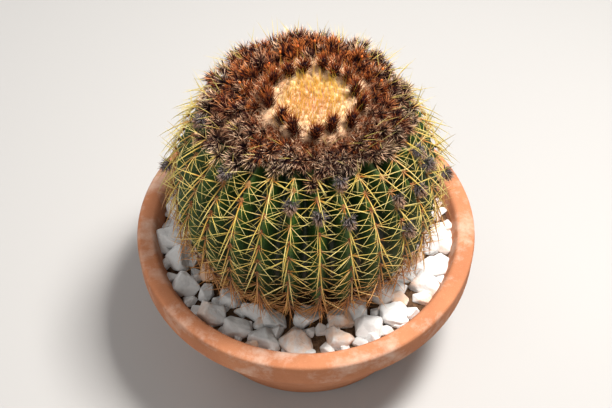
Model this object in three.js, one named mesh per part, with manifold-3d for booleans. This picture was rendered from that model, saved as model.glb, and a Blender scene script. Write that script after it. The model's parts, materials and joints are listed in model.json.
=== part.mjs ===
// Golden barrel cactus (Echinocactus grusonii) in a plain clay pot dressed with crushed white stone.
// Millimetres, +Z up. The origin is the middle of the pot's foot, and azimuth 0 faces -Y.
import * as THREE from "three";
import { ConvexGeometry } from "three/addons/geometries/ConvexGeometry.js";
import { mergeVertices } from "three/addons/utils/BufferGeometryUtils.js";
import Module from "manifold-3d";

const wasm = await Module();
wasm.setup();

// Pot
const POT_HEIGHT = 175;
const RIM_RADIUS = 215;
const RIM_BAND_HEIGHT = 38;
const RIM_THICKNESS = 22;
const BAND_STEP = 9;
const FOOT_RADIUS = 150;
const WALL = 13;
const FLOOR = 14;
const DRAIN_RADIUS = 13;
const EDGE_ROUND = 3;
const POT_SIDES = 48;

// Soil and crushed stone
const SOIL_TOP = 145;
const BED_THICKNESS = 6;
const STONE_TOP = 169;
const WALL_STONES = 27;
const WALL_STONE_SIZE = [38, 50];
const INNER_STONES = 25;
const INNER_STONE_SIZE = [24, 34];
const STONE_CORNERS = 9;
const STONE_STRETCH = [[0.95, 1.15], [0.78, 1], [0.6, 0.8]];
const STONE_RAGGEDNESS = [0.9, 1.1];
const STONE_TILT = 0.3;
const STONE_SINK = 0.14;
const PLANT_CLEARANCE = 1.5;

// Plant: a rounded barrel, wider than it is high, on a short neck and taproot
const RIBS = 28;
const FIRST_RIB_AZIMUTH = 5.8;
const CREST_RADIUS = 160;
const EQUATOR_Z = 257;
const CROWN_RISE = 145;
const CROWN_POWER = 2.25;
const FOOT_DROP = 127;
const FOOT_POWER = 2.1;
const FURROW_DEPTH = 23;
const FULL_FURROW_RADIUS = 120;
const FURROW_END_Z = 139;
const ROW_SPACING = 22;
const NECK_RADIUS = 55;
const TAPROOT_RADIUS = 26;
const TAPROOT_BOTTOM = 58;

// Areoles and spines
const AREOLE_SPACING = 19.5;
const AREOLE_HALF_LENGTH = 3.4;
const AREOLE_HALF_WIDTH = 2.6;
const AREOLE_RISE = 1.2;
const FIRST_AREOLE = 9;
const LOWEST_AREOLE_Z = 182;
const SPINES = 6;
const RADIAL_LENGTH = [25, 32];
const RADIAL_LIFT = [14, 36];
const CENTRAL_LENGTH = [35, 43];
const CENTRAL_LIFT = [36, 52];
const SPINE_SWING = 17;
const SPINE_ROOT_RADIUS = 1.7;
const SPINE_CLEARANCE = 0.3;
const SPINE_HEADROOM = 4;
const SPINE_RIM_CLEARANCE = 6;
const SPINE_TRIES = 40;
const LONG_SPINE_TRIES = 25;
const SHORT_SPINE_SHARE = 0.8;
const LIFT_PER_TRY = 0.6;

// Crown: woolly middle, a ring of pointed buds, and the thatch of dried flowers round them. Its middle has
// grown a little to the right and towards the front.
const CROWN_SHIFT = [8, -9];
const WOOL_RADIUS = 41;
const WOOL_THICKNESS = 6;
const WOOL_CUSHION = 4;
const WOOL_CELLS = 18;
const WOOL_RINGS = 5;
const WOOL_TWIST = 0.4;
const YOUNG_SPINE_LENGTH = [9, 13];
const YOUNG_SPINE_LEAN = 2;
const BUDS = 15;
const BUD_RING_RADIUS = 49.5;
const BUD = { sides: 5, stalk: 4.4, belly: 5.4, height: 27, lean: -6 };
const THATCH_INNER = 58;
const THATCH_EDGE_FRONT = 90;
const THATCH_EDGE_BACK = 106;
const THATCH_THICKNESS = 4;
const THATCH_SIDES = 56;
const THATCH_BANDS = 5;
const BRISTLE_HEIGHT = [12, 28];
const BRISTLE_LEAN = 0.34;
const BARE_SHARE = 0.22;
const THATCH_LEAN_SPACE = { start: 2.5, slope: 0.45 };

// Dried flowers caught lower down: [rib counted from the front to the right, areole from the top]
const DRIED_FLOWERS = [
  [0, 2], [1, 0], [1, 2], [3, 2], [3, 4], [4, 3], [5, 1], [5, 2], [6, 5], [21, 0], [21, 4], [24, 1], [27, 1],
];
const DRIED_FLOWER = { sides: 5, stalk: 2.6, belly: 5.6, height: 20, lean: 3 };
const DRIED_FLOWER_ROOM = 9.5;

// A tuft's shape, as shares of its height and of its belly's radius
const TUFT_MIDDLE = { rise: 0.38, girth: 1 };
const TUFT_NECK = { rise: 0.62, girth: 0.62 };
const TUFT_TOP = 0.66;
const LOW_SCALES = { rise: [0.5, 0.66], girth: 1.3 };
const HIGH_SCALES = { rise: [0.84, 1], girth: 0.7 };

const GAP = 0.3;
const SURFACE_GAP = 0.7;
const TURN = Math.PI * 2;
const GOLDEN_ANGLE = 2.4;
const SEEDS = { spines: 20417, wool: 311, thatch: 977, stones: 5083, driedFlowers: 700, buds: 40 };

const FINISHES = {
  clay: { color: 0xb5673f, roughness: 0.85 },
  soil: { color: 0x5a4030, roughness: 1 },
  stone: { color: 0xe6e2da, roughness: 0.8 },
  skin: { color: 0x3f6b2a, roughness: 0.6 },
  wool: { color: 0xe8cf8f, roughness: 0.95 },
  bud: { color: 0x4a2018, roughness: 0.5 },
  thatch: { color: 0x6b3f2a, roughness: 0.9 },
  driedFlower: { color: 0x5b5048, roughness: 0.9 },
};

// Seeded random numbers, so that the plant is the same every time.
function seeded(seed) {
  let state = seed;
  return (low = 0, high = 1) => {
    state = (state * 1664525 + 1013904223) % 4294967296;
    return low + (high - low) * (state / 4294967296);
  };
}

const radians = THREE.MathUtils.degToRad;
const mix = THREE.MathUtils.lerp;
const smooth = THREE.MathUtils.smoothstep;

// A closed surface built triangle by triangle, in which a triangle can be drawn out to a point.
class Skin {
  constructor() {
    this.points = [];
    this.faces = [];
  }

  point(v) {
    this.points.push(v);
    return this.points.length - 1;
  }

  face(a, b, c) {
    this.faces.push([a, b, c]);
  }

  spike(a, b, c, tip) {
    const t = this.point(tip);
    this.face(a, b, t);
    this.face(b, c, t);
    this.face(c, a, t);
  }

  // Fills the strip between two chains of { index, s } that run the same way, left chain first.
  zip(left, right) {
    let i = 0;
    let j = 0;
    while (i < left.length - 1 || j < right.length - 1) {
      const leftNext = i < left.length - 1 ? left[i + 1].s : Infinity;
      const rightNext = j < right.length - 1 ? right[j + 1].s : Infinity;
      if (leftNext <= rightNext) {
        this.face(left[i].index, left[i + 1].index, right[j].index);
        i += 1;
      } else {
        this.face(left[i].index, right[j + 1].index, right[j].index);
        j += 1;
      }
    }
  }

  geometry() {
    const made = new THREE.BufferGeometry();
    const values = this.points.flatMap((p) => p.toArray());
    made.setAttribute("position", new THREE.Float32BufferAttribute(values, 3));
    made.setIndex(this.faces.flat());
    return facingOut(made);
  }
}

function signedVolume(geometry) {
  const p = geometry.getAttribute("position");
  const index = geometry.index.array;
  const [a, b, c] = [new THREE.Vector3(), new THREE.Vector3(), new THREE.Vector3()];
  let sum = 0;
  for (let i = 0; i < index.length; i += 3) {
    a.fromBufferAttribute(p, index[i]);
    b.fromBufferAttribute(p, index[i + 1]);
    c.fromBufferAttribute(p, index[i + 2]);
    sum += a.dot(b.cross(c)) / 6;
  }
  return sum;
}

// Shared vertices are merged, and a surface that faces inwards is turned round.
function facingOut(geometry) {
  const bare = geometry.clone();
  bare.deleteAttribute("normal");
  bare.deleteAttribute("uv");
  const merged = mergeVertices(bare, 1e-3);
  if (signedVolume(merged) < 0) {
    const index = merged.index.array;
    for (let i = 0; i < index.length; i += 3) [index[i + 1], index[i + 2]] = [index[i + 2], index[i + 1]];
  }
  merged.computeVertexNormals();
  return merged;
}

function solid(geometry) {
  const vertProperties = new Float32Array(geometry.getAttribute("position").array);
  const triVerts = new Uint32Array(geometry.index.array);
  return new wasm.Manifold(new wasm.Mesh({ numProp: 3, vertProperties, triVerts }));
}

function fromSolid(made) {
  const mesh = made.getMesh();
  const geometry = new THREE.BufferGeometry();
  geometry.setAttribute("position", new THREE.Float32BufferAttribute(mesh.vertProperties, 3));
  geometry.setIndex([...mesh.triVerts]);
  geometry.computeVertexNormals();
  return geometry;
}

// A turned solid from [radius, height] corners. A closed outline makes a ring.
function turned(outline, sides, closed) {
  const corners = outline.map(([r, z]) => new THREE.Vector2(r, z));
  if (closed) corners.push(corners[0].clone());
  return facingOut(new THREE.LatheGeometry(corners, sides).rotateX(Math.PI / 2));
}

// Crest line from the top of the crown to the end of the taproot, as closely spaced points.
const crestLine = (() => {
  const line = [];
  const steps = 120;
  for (let i = 0; i <= steps; i += 1) {
    const a = (i / steps) * (Math.PI / 2);
    const r = CREST_RADIUS * Math.sin(a) ** (2 / CROWN_POWER);
    line.push([r, EQUATOR_Z + CROWN_RISE * Math.cos(a) ** (2 / CROWN_POWER)]);
  }
  for (let i = 1; i <= steps; i += 1) {
    const a = (i / steps) * (Math.PI / 2);
    const r = CREST_RADIUS * Math.cos(a) ** (2 / FOOT_POWER);
    if (r < NECK_RADIUS) break;
    line.push([r, EQUATOR_Z - FOOT_DROP * Math.sin(a) ** (2 / FOOT_POWER)]);
  }
  line.push([TAPROOT_RADIUS, TAPROOT_BOTTOM]);
  let s = 0;
  return line.map(([r, z], i) => {
    if (i > 0) s += Math.hypot(r - line[i - 1][0], z - line[i - 1][1]);
    return { s, r, z };
  });
})();

// Place, outward normal and downward tangent on the crest line, a distance s from the crown.
function crestAt(s) {
  let k = 1;
  while (k < crestLine.length - 1 && crestLine[k].s < s) k += 1;
  const [a, b] = [crestLine[k - 1], crestLine[k]];
  const f = (s - a.s) / (b.s - a.s);
  const down = new THREE.Vector2(b.r - a.r, b.z - a.z).normalize();
  return { r: mix(a.r, b.r, f), z: mix(a.z, b.z, f), down, out: new THREE.Vector2(-down.y, down.x) };
}

// Distance along the crest line of the first point that a test accepts.
const crestDistance = (test) => crestLine.find(test).s;
const sAtCrownRadius = (r) => crestDistance((p) => p.r >= r);
const sAtHeight = (z) => crestDistance((p) => p.z <= z);

const azimuthOfRib = (i) => radians(FIRST_RIB_AZIMUTH) + (i * TURN) / RIBS;
const around = (r, azimuth, z) => new THREE.Vector3(r * Math.sin(azimuth), -r * Math.cos(azimuth), z);

// Frame of the crest surface at an azimuth: origin, out, down the rib and sideways.
function surfaceFrame(s, azimuth, lift = 0) {
  const { r, z, down, out } = crestAt(s);
  return {
    origin: around(r + out.x * lift, azimuth, z + out.y * lift),
    out: around(out.x, azimuth, out.y),
    down: around(down.x, azimuth, down.y),
    side: around(1, azimuth + Math.PI / 2, 0),
  };
}

function furrowDepth(s) {
  const { r, z } = crestAt(s);
  if (z > EQUATOR_Z) return FURROW_DEPTH * smooth(r, WOOL_RADIUS, FULL_FURROW_RADIUS);
  return FURROW_DEPTH * smooth(z, FURROW_END_Z, LOWEST_AREOLE_Z + AREOLE_SPACING / 2);
}

// The thatch reaches lower down the back of the plant than down its front.
function thatchEdge(azimuth) {
  const radius = mix(THATCH_EDGE_FRONT, THATCH_EDGE_BACK, (1 - Math.cos(azimuth)) / 2);
  return sAtCrownRadius(radius);
}

// Frame of the crest surface in the crown, counted from the crown's own middle. The shift of that middle
// fades out across the thatch.
function crownFrame(s, azimuth, lift = 0) {
  const inner = sAtCrownRadius(THATCH_INNER);
  const hold = 1 - THREE.MathUtils.clamp((s - inner) / (thatchEdge(azimuth) - inner), 0, 1);
  const x = s * Math.sin(azimuth) + hold * CROWN_SHIFT[0];
  const y = -s * Math.cos(azimuth) + hold * CROWN_SHIFT[1];
  return surfaceFrame(Math.hypot(x, y), Math.atan2(x, -y), lift);
}

function areolePlaces(rib) {
  const first = thatchEdge(azimuthOfRib(rib)) + FIRST_AREOLE + (rib % 2) * (AREOLE_SPACING / 2);
  const last = sAtHeight(LOWEST_AREOLE_Z);
  const count = Math.floor((last - first) / AREOLE_SPACING) + 1;
  return Array.from({ length: count }, (_, j) => first + j * AREOLE_SPACING);
}

// Closest points of two straight pieces: the distance between them and where it is on each, 0 to 1.
function closest(p1, q1, p2, q2) {
  const d1 = q1.clone().sub(p1);
  const d2 = q2.clone().sub(p2);
  const r = p1.clone().sub(p2);
  const [a, e, f] = [d1.dot(d1), d2.dot(d2), d2.dot(r)];
  const [c, b] = [d1.dot(r), d1.dot(d2)];
  const clamp = (x) => THREE.MathUtils.clamp(x, 0, 1);
  const spread = a * e - b * b;
  let s = spread > 1e-9 ? clamp((b * f - c * e) / spread) : 0;
  const t = clamp((b * s + f) / e);
  s = clamp((b * t - c) / a);
  const gap = r.add(d1.multiplyScalar(s)).sub(d2.multiplyScalar(t)).length();
  return { gap, s, t };
}

// Room round the plant that spines and dried flowers have taken, as tapering straight pieces.
class Room {
  constructor() {
    this.taken = [];
  }

  isFree(root, tip, radius, owner) {
    const reach = 2 * CENTRAL_LENGTH[1];
    return this.taken.every((other) => {
      if (other.owner === owner || other.root.distanceTo(root) > reach) return true;
      const near = closest(root, tip, other.root, other.tip);
      const needed = radius * (1 - near.s) + other.radius * (1 - other.taper * near.t) + SPINE_CLEARANCE;
      return near.gap > needed;
    });
  }

  take(root, tip, radius, owner, taper = 1) {
    this.taken.push({ root, tip, radius, owner, taper });
  }
}

// A spine stays over the stones, inside the rim's reach and outside the leaning edge of the thatch.
function clearOfNeighbours(root, tip) {
  for (const t of [0.25, 0.5, 0.75, 1]) {
    const p = root.clone().lerp(tip, t);
    const r = Math.hypot(p.x, p.y);
    if (p.z < STONE_TOP + SPINE_HEADROOM) return false;
    if (p.z < POT_HEIGHT + SPINE_HEADROOM && r > RIM_RADIUS - RIM_THICKNESS - SPINE_RIM_CLEARANCE) return false;
    if (p.z > EQUATOR_Z) {
      let best = Infinity;
      let s = 0;
      for (const q of crestLine) {
        const d = (q.r - r) ** 2 + (q.z - p.z) ** 2;
        if (d < best) [best, s] = [d, q.s];
      }
      const azimuth = Math.atan2(p.x, -p.y);
      const leaning = THATCH_LEAN_SPACE.start + THATCH_LEAN_SPACE.slope * Math.sqrt(best);
      if (s < thatchEdge(azimuth) + leaning) return false;
    }
  }
  return true;
}

const room = new Room();
const rand = seeded(SEEDS.spines);

// One spine of an areole: tries directions, and at last a shorter one, until it is clear of every other piece.
function spineTip(frame, root, sector, central, owner) {
  const length = rand(...(central ? CENTRAL_LENGTH : RADIAL_LENGTH));
  const lifts = central ? CENTRAL_LIFT : RADIAL_LIFT;
  for (let attempt = 0; attempt < SPINE_TRIES; attempt += 1) {
    const swing = radians(sector + rand(-SPINE_SWING, SPINE_SWING));
    const lift = radians(rand(...lifts) + attempt * LIFT_PER_TRY);
    const direction = frame.down.clone().multiplyScalar(-Math.cos(swing) * Math.cos(lift));
    direction.addScaledVector(frame.side, Math.sin(swing) * Math.cos(lift));
    direction.addScaledVector(frame.out, Math.sin(lift));
    const reach = length * (attempt < LONG_SPINE_TRIES ? 1 : SHORT_SPINE_SHARE);
    const tip = root.clone().addScaledVector(direction, reach);
    if (!clearOfNeighbours(root, tip)) continue;
    if (!room.isFree(root, tip, SPINE_ROOT_RADIUS, owner)) continue;
    room.take(root, tip, SPINE_ROOT_RADIUS, owner);
    return tip;
  }
  return null;
}

// Ribbed body: crests carry small six-sided areoles, and each side of an areole is drawn out to a spine.
function cactusBody() {
  const skin = new Skin();
  const top = sAtCrownRadius(WOOL_RADIUS - WOOL_CUSHION);
  const neck = crestLine[crestLine.length - 2].s;
  const end = crestLine[crestLine.length - 1].s;
  const rows = Math.round((neck - top) / ROW_SPACING);
  const bare = new Set(DRIED_FLOWERS.map(([rib, areole]) => `${rib},${areole}`));

  const crests = [];
  for (let i = 0; i < RIBS; i += 1) {
    const azimuth = azimuthOfRib(i);
    const onCrest = (s) => ({ index: skin.point(surfaceFrame(s, azimuth).origin), s });
    const places = areolePlaces(i);
    const ends = [onCrest(top)];
    for (let s = top + ROW_SPACING; s < places[0] - ROW_SPACING / 2; s += ROW_SPACING) ends.push(onCrest(s));
    const chain = { left: [...ends], right: [...ends] };
    places.forEach((s, j) => {
      const frame = surfaceFrame(s, azimuth);
      const corners = Array.from({ length: SPINES }, (_, k) => {
        const turn = (k * TURN) / SPINES;
        const along = -AREOLE_HALF_LENGTH * Math.cos(turn);
        const place = frame.origin.clone().addScaledVector(frame.down, along);
        place.addScaledVector(frame.side, AREOLE_HALF_WIDTH * Math.sin(turn));
        return { index: skin.point(place), s: s + along };
      });
      chain.right.push(corners[0], corners[1], corners[2], corners[3]);
      chain.left.push(corners[0], corners[5], corners[4], corners[3]);
      const middle = skin.point(surfaceFrame(s, azimuth, AREOLE_RISE).origin);
      const owner = `${i},${j}`;
      const centralSide = (i + j) % 2 === 0 ? 2 : 3;
      for (let k = 0; k < SPINES; k += 1) {
        const next = (k + 1) % SPINES;
        const sector = (360 / SPINES) * (k + 0.5);
        const base = [middle, corners[next].index, corners[k].index];
        const root = new THREE.Vector3();
        base.forEach((corner) => root.addScaledVector(skin.points[corner], 1 / 3));
        const tip = bare.has(owner) ? null : spineTip(frame, root, sector, k === centralSide, owner);
        if (tip) skin.spike(...base, tip);
        else skin.face(...base);
      }
    });
    const lowest = places[places.length - 1];
    const below = [1, 2, 3].map((step) => onCrest(mix(lowest, neck, step / 3)));
    chain.left.push(...below);
    chain.right.push(...below);
    crests.push(chain);
  }

  const furrows = [];
  for (let i = 0; i < RIBS; i += 1) {
    const azimuth = azimuthOfRib(i + 0.5);
    furrows.push(Array.from({ length: rows + 1 }, (_, k) => {
      const s = mix(top, neck, k / rows);
      return { index: skin.point(surfaceFrame(s, azimuth, -furrowDepth(s)).origin), s };
    }));
  }

  for (let i = 0; i < RIBS; i += 1) {
    skin.zip(crests[i].right, furrows[i]);
    skin.zip(furrows[i], crests[(i + 1) % RIBS].left);
  }

  const crownPole = skin.point(new THREE.Vector3(0, 0, crestAt(0).z - GAP));
  const rootSides = RIBS / 2;
  const rootRing = Array.from({ length: rootSides }, (_, k) => {
    const { r, z } = crestAt(end);
    return skin.point(around(r, azimuthOfRib(2 * k), z));
  });
  const rootPole = skin.point(new THREE.Vector3(0, 0, TAPROOT_BOTTOM));
  for (let i = 0; i < RIBS; i += 1) {
    const next = (i + 1) % RIBS;
    const [crest, furrow, nextCrest] = [crests[i].left[0], furrows[i][0], crests[next].left[0]];
    skin.face(crownPole, crest.index, furrow.index);
    skin.face(crownPole, furrow.index, nextCrest.index);
  }
  for (let k = 0; k < rootSides; k += 1) {
    const [here, there] = [rootRing[k], rootRing[(k + 1) % rootSides]];
    const ringOf = (i) => [crests[i % RIBS].left.at(-1).index, furrows[i % RIBS].at(-1).index];
    const lower = [...ringOf(2 * k), ...ringOf(2 * k + 1), ringOf(2 * k + 2)[0]];
    skin.face(lower[0], here, lower[1]);
    skin.face(lower[1], here, lower[2]);
    skin.face(lower[2], here, there);
    skin.face(lower[2], there, lower[3]);
    skin.face(lower[3], there, lower[4]);
    skin.face(rootPole, there, here);
  }
  return skin.geometry();
}

// Tuft of stiff pointed scales on a short stalk: a dark bud in the crown, or a dried flower.
function tuft(frame, { sides, stalk, belly, height, lean, random }) {
  const skin = new Skin();
  const pointAt = (radius, rise, turn) => {
    const place = frame.origin.clone().addScaledVector(frame.out, rise);
    place.addScaledVector(frame.down, radius * Math.cos(turn) + lean * (rise / height));
    return place.addScaledVector(frame.side, radius * Math.sin(turn));
  };
  const ring = (radius, rise, shift) => Array.from({ length: sides }, (_, k) => (
    skin.point(pointAt(radius, rise, ((k + shift) * TURN) / sides))
  ));
  const foot = ring(stalk, 0, 0);
  const middle = ring(TUFT_MIDDLE.girth * belly, TUFT_MIDDLE.rise * height, 0.5);
  const neck = ring(TUFT_NECK.girth * belly, TUFT_NECK.rise * height, 0);
  const footPole = skin.point(pointAt(0, 0, 0));
  const topPole = skin.point(pointAt(0, TUFT_TOP * height, 0));
  for (let k = 0; k < sides; k += 1) {
    const n = (k + 1) % sides;
    const turn = ((k + 0.5) * TURN) / sides;
    const [lowRise, highRise] = [random(...LOW_SCALES.rise), random(...HIGH_SCALES.rise)];
    const low = pointAt(LOW_SCALES.girth * belly, lowRise * height, turn + TURN / (2 * sides));
    const high = pointAt(HIGH_SCALES.girth * belly, highRise * height, turn);
    skin.face(footPole, foot[k], foot[n]);
    skin.face(foot[k], middle[k], foot[n]);
    skin.face(foot[n], middle[k], middle[n]);
    skin.spike(middle[k], neck[n], middle[n], low);
    skin.face(middle[k], neck[k], neck[n]);
    skin.spike(topPole, neck[n], neck[k], high);
  }
  return skin.geometry();
}

// Ring of points on the crown, at a distance from the pole that may depend on the azimuth.
function crownRing(skin, s, lift, sides, twist = 0) {
  return Array.from({ length: sides }, (_, k) => {
    const azimuth = ((k + twist) * TURN) / sides;
    const distance = typeof s === "function" ? s(azimuth) : s;
    return skin.point(crownFrame(distance, azimuth, lift).origin);
  });
}

function band(skin, inner, outer) {
  inner.forEach((_, k) => {
    const n = (k + 1) % inner.length;
    skin.face(inner[k], outer[k], outer[n]);
    skin.face(inner[k], outer[n], inner[n]);
  });
}

// Woolly crown: cushions in spiral rows, each with one short young spine.
function crownWool() {
  const skin = new Skin();
  const random = seeded(SEEDS.wool);
  const [cells, rings] = [WOOL_CELLS, WOOL_RINGS];
  const edge = sAtCrownRadius(WOOL_RADIUS);
  const under = [1 / 3, 2 / 3, 1].map((f) => crownRing(skin, f * edge, SURFACE_GAP, cells));
  const underPole = skin.point(crownFrame(0, 0, SURFACE_GAP).origin);
  under[0].forEach((_, k) => skin.face(underPole, under[0][(k + 1) % cells], under[0][k]));
  for (let j = 1; j < under.length; j += 1) band(skin, under[j], under[j - 1]);
  let outer = crownRing(skin, edge, SURFACE_GAP + 0.4 * WOOL_THICKNESS, cells);
  band(skin, outer, under.at(-1));
  for (let j = rings - 1; j >= 1; j -= 1) {
    const [sIn, sOut] = [(edge * j) / rings, (edge * (j + 1)) / rings];
    const twisted = (rings - j) * WOOL_TWIST;
    const inner = crownRing(skin, sIn, WOOL_THICKNESS, cells, twisted);
    for (let k = 0; k < cells; k += 1) {
      const n = (k + 1) % cells;
      const azimuth = ((k + 0.5 + twisted - WOOL_TWIST / 2) * TURN) / cells;
      const frame = crownFrame((sIn + sOut) / 2, azimuth, WOOL_THICKNESS + WOOL_CUSHION);
      const peak = skin.point(frame.origin);
      skin.face(peak, outer[k], outer[n]);
      skin.face(peak, outer[n], inner[n]);
      skin.face(peak, inner[k], outer[k]);
      const tip = frame.origin.clone().addScaledVector(frame.out, random(...YOUNG_SPINE_LENGTH));
      tip.addScaledVector(frame.down, -YOUNG_SPINE_LEAN);
      if (j < rings - 1) skin.spike(peak, inner[n], inner[k], tip);
      else skin.face(peak, inner[n], inner[k]);
    }
    outer = inner;
  }
  const pole = skin.point(crownFrame(0, 0, WOOL_THICKNESS + 1).origin);
  outer.forEach((_, k) => skin.face(pole, outer[k], outer[(k + 1) % cells]));
  return skin.geometry();
}

// Thatch of dried flowers: a slim pad round the crown with most of its triangles drawn out to bristles.
function flowerThatch() {
  const skin = new Skin();
  const random = seeded(SEEDS.thatch);
  const inside = sAtCrownRadius(THATCH_INNER);
  const at = (f) => (azimuth) => mix(inside, thatchEdge(azimuth), f);
  const grid = Array.from({ length: THATCH_BANDS + 1 }, (_, j) => (
    crownRing(skin, at(j / THATCH_BANDS), THATCH_THICKNESS, THATCH_SIDES)
  ));
  const lowerRings = [0, 1 / 3, 2 / 3, 1].map((f) => crownRing(skin, at(f), SURFACE_GAP, THATCH_SIDES));
  for (let j = 0; j < lowerRings.length - 1; j += 1) band(skin, lowerRings[j + 1], lowerRings[j]);
  band(skin, lowerRings[0], grid[0]);
  band(skin, grid[THATCH_BANDS], lowerRings[lowerRings.length - 1]);
  const bristle = (a, b, c, f) => {
    if (random() < BARE_SHARE) {
      skin.face(a, b, c);
      return;
    }
    const corners = [a, b, c].map((i) => skin.points[i]);
    const weights = corners.map(() => random(0.6, 1));
    const total = weights.reduce((sum, w) => sum + w, 0);
    const root = new THREE.Vector3();
    corners.forEach((corner, i) => root.addScaledVector(corner, weights[i] / total));
    const frame = surfaceFrame(sAtCrownRadius(Math.hypot(root.x, root.y)), Math.atan2(root.x, -root.y));
    const height = random(...BRISTLE_HEIGHT);
    root.addScaledVector(frame.out, height);
    root.addScaledVector(frame.down, height * BRISTLE_LEAN * f);
    skin.spike(a, b, c, root);
  };
  for (let j = 0; j < THATCH_BANDS; j += 1) {
    for (let k = 0; k < THATCH_SIDES; k += 1) {
      const n = (k + 1) % THATCH_SIDES;
      bristle(grid[j][k], grid[j + 1][k], grid[j + 1][n], (j + 0.6) / THATCH_BANDS);
      bristle(grid[j][k], grid[j + 1][n], grid[j][n], (j + 0.4) / THATCH_BANDS);
    }
  }
  return skin.geometry();
}

// Clay pot with a thick rim band, tapering sides and a drainage hole in its flat foot.
function pot() {
  const bandBottom = POT_HEIGHT - RIM_BAND_HEIGHT;
  const rimInner = RIM_RADIUS - RIM_THICKNESS;
  return turned([
    [DRAIN_RADIUS, 0],
    [FOOT_RADIUS - EDGE_ROUND, 0],
    [FOOT_RADIUS, EDGE_ROUND],
    [RIM_RADIUS - BAND_STEP, bandBottom],
    [RIM_RADIUS, bandBottom + EDGE_ROUND],
    [RIM_RADIUS, POT_HEIGHT - EDGE_ROUND],
    [RIM_RADIUS - EDGE_ROUND, POT_HEIGHT],
    [rimInner + EDGE_ROUND, POT_HEIGHT],
    [rimInner, POT_HEIGHT - EDGE_ROUND],
    [FOOT_RADIUS - WALL, FLOOR],
    [DRAIN_RADIUS, FLOOR],
  ], POT_SIDES, true);
}

// Inner radius of the pot at a height.
function potInside(z) {
  const f = (z - FLOOR) / (POT_HEIGHT - EDGE_ROUND - FLOOR);
  return mix(FOOT_RADIUS - WALL, RIM_RADIUS - RIM_THICKNESS, f);
}

// Plain turned space for the plant, a little wider than its crests all the way down.
function plantSpace(clearance) {
  const below = crestLine.filter((p, i) => p.z < EQUATOR_Z - 40 && i % 8 === 0);
  const last = crestLine[crestLine.length - 2];
  const side = [...below, last].map((p) => [p.r + clearance, p.z - 0.4 * clearance]);
  const foot = [TAPROOT_RADIUS + clearance, TAPROOT_BOTTOM - clearance];
  return turned([[0, side[0][1]], ...side, foot, [0, foot[1]]], POT_SIDES, false);
}

function soil() {
  const bottom = FLOOR + GAP;
  const block = turned([
    [0, bottom],
    [potInside(bottom) - 2 * GAP, bottom],
    [potInside(SOIL_TOP) - 2 * GAP, SOIL_TOP],
    [0, SOIL_TOP],
  ], POT_SIDES, false);
  return fromSolid(solid(block).subtract(solid(plantSpace(PLANT_CLEARANCE))));
}

// Angular stone, kept inside the pot's wall and between the underside of its bed and the dressing's top.
function crushedStone(random, size, place, lowest) {
  const stretch = new THREE.Vector3(...STONE_STRETCH.map((range) => random(...range)));
  const tilt = () => random(-STONE_TILT, STONE_TILT);
  const spin = new THREE.Euler(tilt(), tilt(), random(0, TURN));
  const corners = Array.from({ length: STONE_CORNERS }, (_, i) => {
    const up = 1 - (2 * (i + 0.5)) / STONE_CORNERS;
    const turn = i * GOLDEN_ANGLE + random(-0.5, 0.5);
    const flat = Math.sqrt(1 - up * up);
    const corner = new THREE.Vector3(flat * Math.cos(turn), flat * Math.sin(turn), up);
    corner.multiply(stretch).multiplyScalar((size / 2) * random(...STONE_RAGGEDNESS));
    return corner.applyEuler(spin).add(place);
  });
  const drop = Math.max(0, Math.max(...corners.map((c) => c.z)) - STONE_TOP);
  corners.forEach((c) => {
    c.z = Math.max(c.z - drop, lowest);
    const inward = Math.min(1, (potInside(c.z) - 2) / Math.hypot(c.x, c.y));
    c.x *= inward;
    c.y *= inward;
  });
  return facingOut(new ConvexGeometry(corners));
}

// Crushed stone on a thin round bed: a row of large stones along the pot's wall and one of smaller
// stones under the swell of the plant. The bed's plain hole clears the plant, and so does every stone.
function stoneDressing() {
  const random = seeded(SEEDS.stones);
  const bottom = SOIL_TOP + GAP;
  const top = bottom + BED_THICKNESS;
  const wall = potInside(bottom) - 2 * GAP;
  const hole = crestAt(sAtHeight(top)).r + PLANT_CLEARANCE;
  const nearest = crestAt(sAtHeight(STONE_TOP)).r + 1;
  let bed = solid(turned([[hole, bottom], [wall, bottom], [wall, top], [hole, top]], POT_SIDES, true));
  const addRow = (count, sizes, radiusOf) => {
    for (let i = 0; i < count; i += 1) {
      const size = random(...sizes);
      const azimuth = ((i + random(-0.2, 0.2)) * TURN) / count;
      const place = around(radiusOf(size), azimuth, top + STONE_SINK * size);
      bed = bed.add(solid(crushedStone(random, size, place, bottom + 1)));
    }
  };
  addRow(WALL_STONES, WALL_STONE_SIZE, (size) => wall - 0.36 * size);
  addRow(INNER_STONES, INNER_STONE_SIZE, (size) => nearest + 0.58 * size);
  return fromSolid(bed);
}

function mesh(name, geometry, finish) {
  const material = new THREE.MeshStandardMaterial({ ...finish, metalness: 0, flatShading: true });
  const made = new THREE.Mesh(geometry, material);
  made.name = name;
  return made;
}

const plant = new THREE.Group();

DRIED_FLOWERS.forEach(([rib, areole], i) => {
  const frame = surfaceFrame(areolePlaces(rib)[areole], azimuthOfRib(rib), AREOLE_RISE + 2 * GAP);
  const tip = frame.origin.clone().addScaledVector(frame.out, DRIED_FLOWER.height);
  room.take(frame.origin, tip, DRIED_FLOWER_ROOM, `${rib},${areole}`, 0);
  const geometry = tuft(frame, { ...DRIED_FLOWER, random: seeded(SEEDS.driedFlowers + i) });
  plant.add(mesh(`dried_flower_${String(i + 1).padStart(2, "0")}`, geometry, FINISHES.driedFlower));
});

plant.add(mesh("cactus_body", cactusBody(), FINISHES.skin));
plant.add(mesh("crown_wool", crownWool(), FINISHES.wool));
plant.add(mesh("flower_thatch", flowerThatch(), FINISHES.thatch));

for (let i = 0; i < BUDS; i += 1) {
  const frame = crownFrame(sAtCrownRadius(BUD_RING_RADIUS), (i * TURN) / BUDS, SURFACE_GAP);
  const geometry = tuft(frame, { ...BUD, random: seeded(SEEDS.buds + i) });
  plant.add(mesh(`bud_tuft_${String(i + 1).padStart(2, "0")}`, geometry, FINISHES.bud));
}

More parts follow.
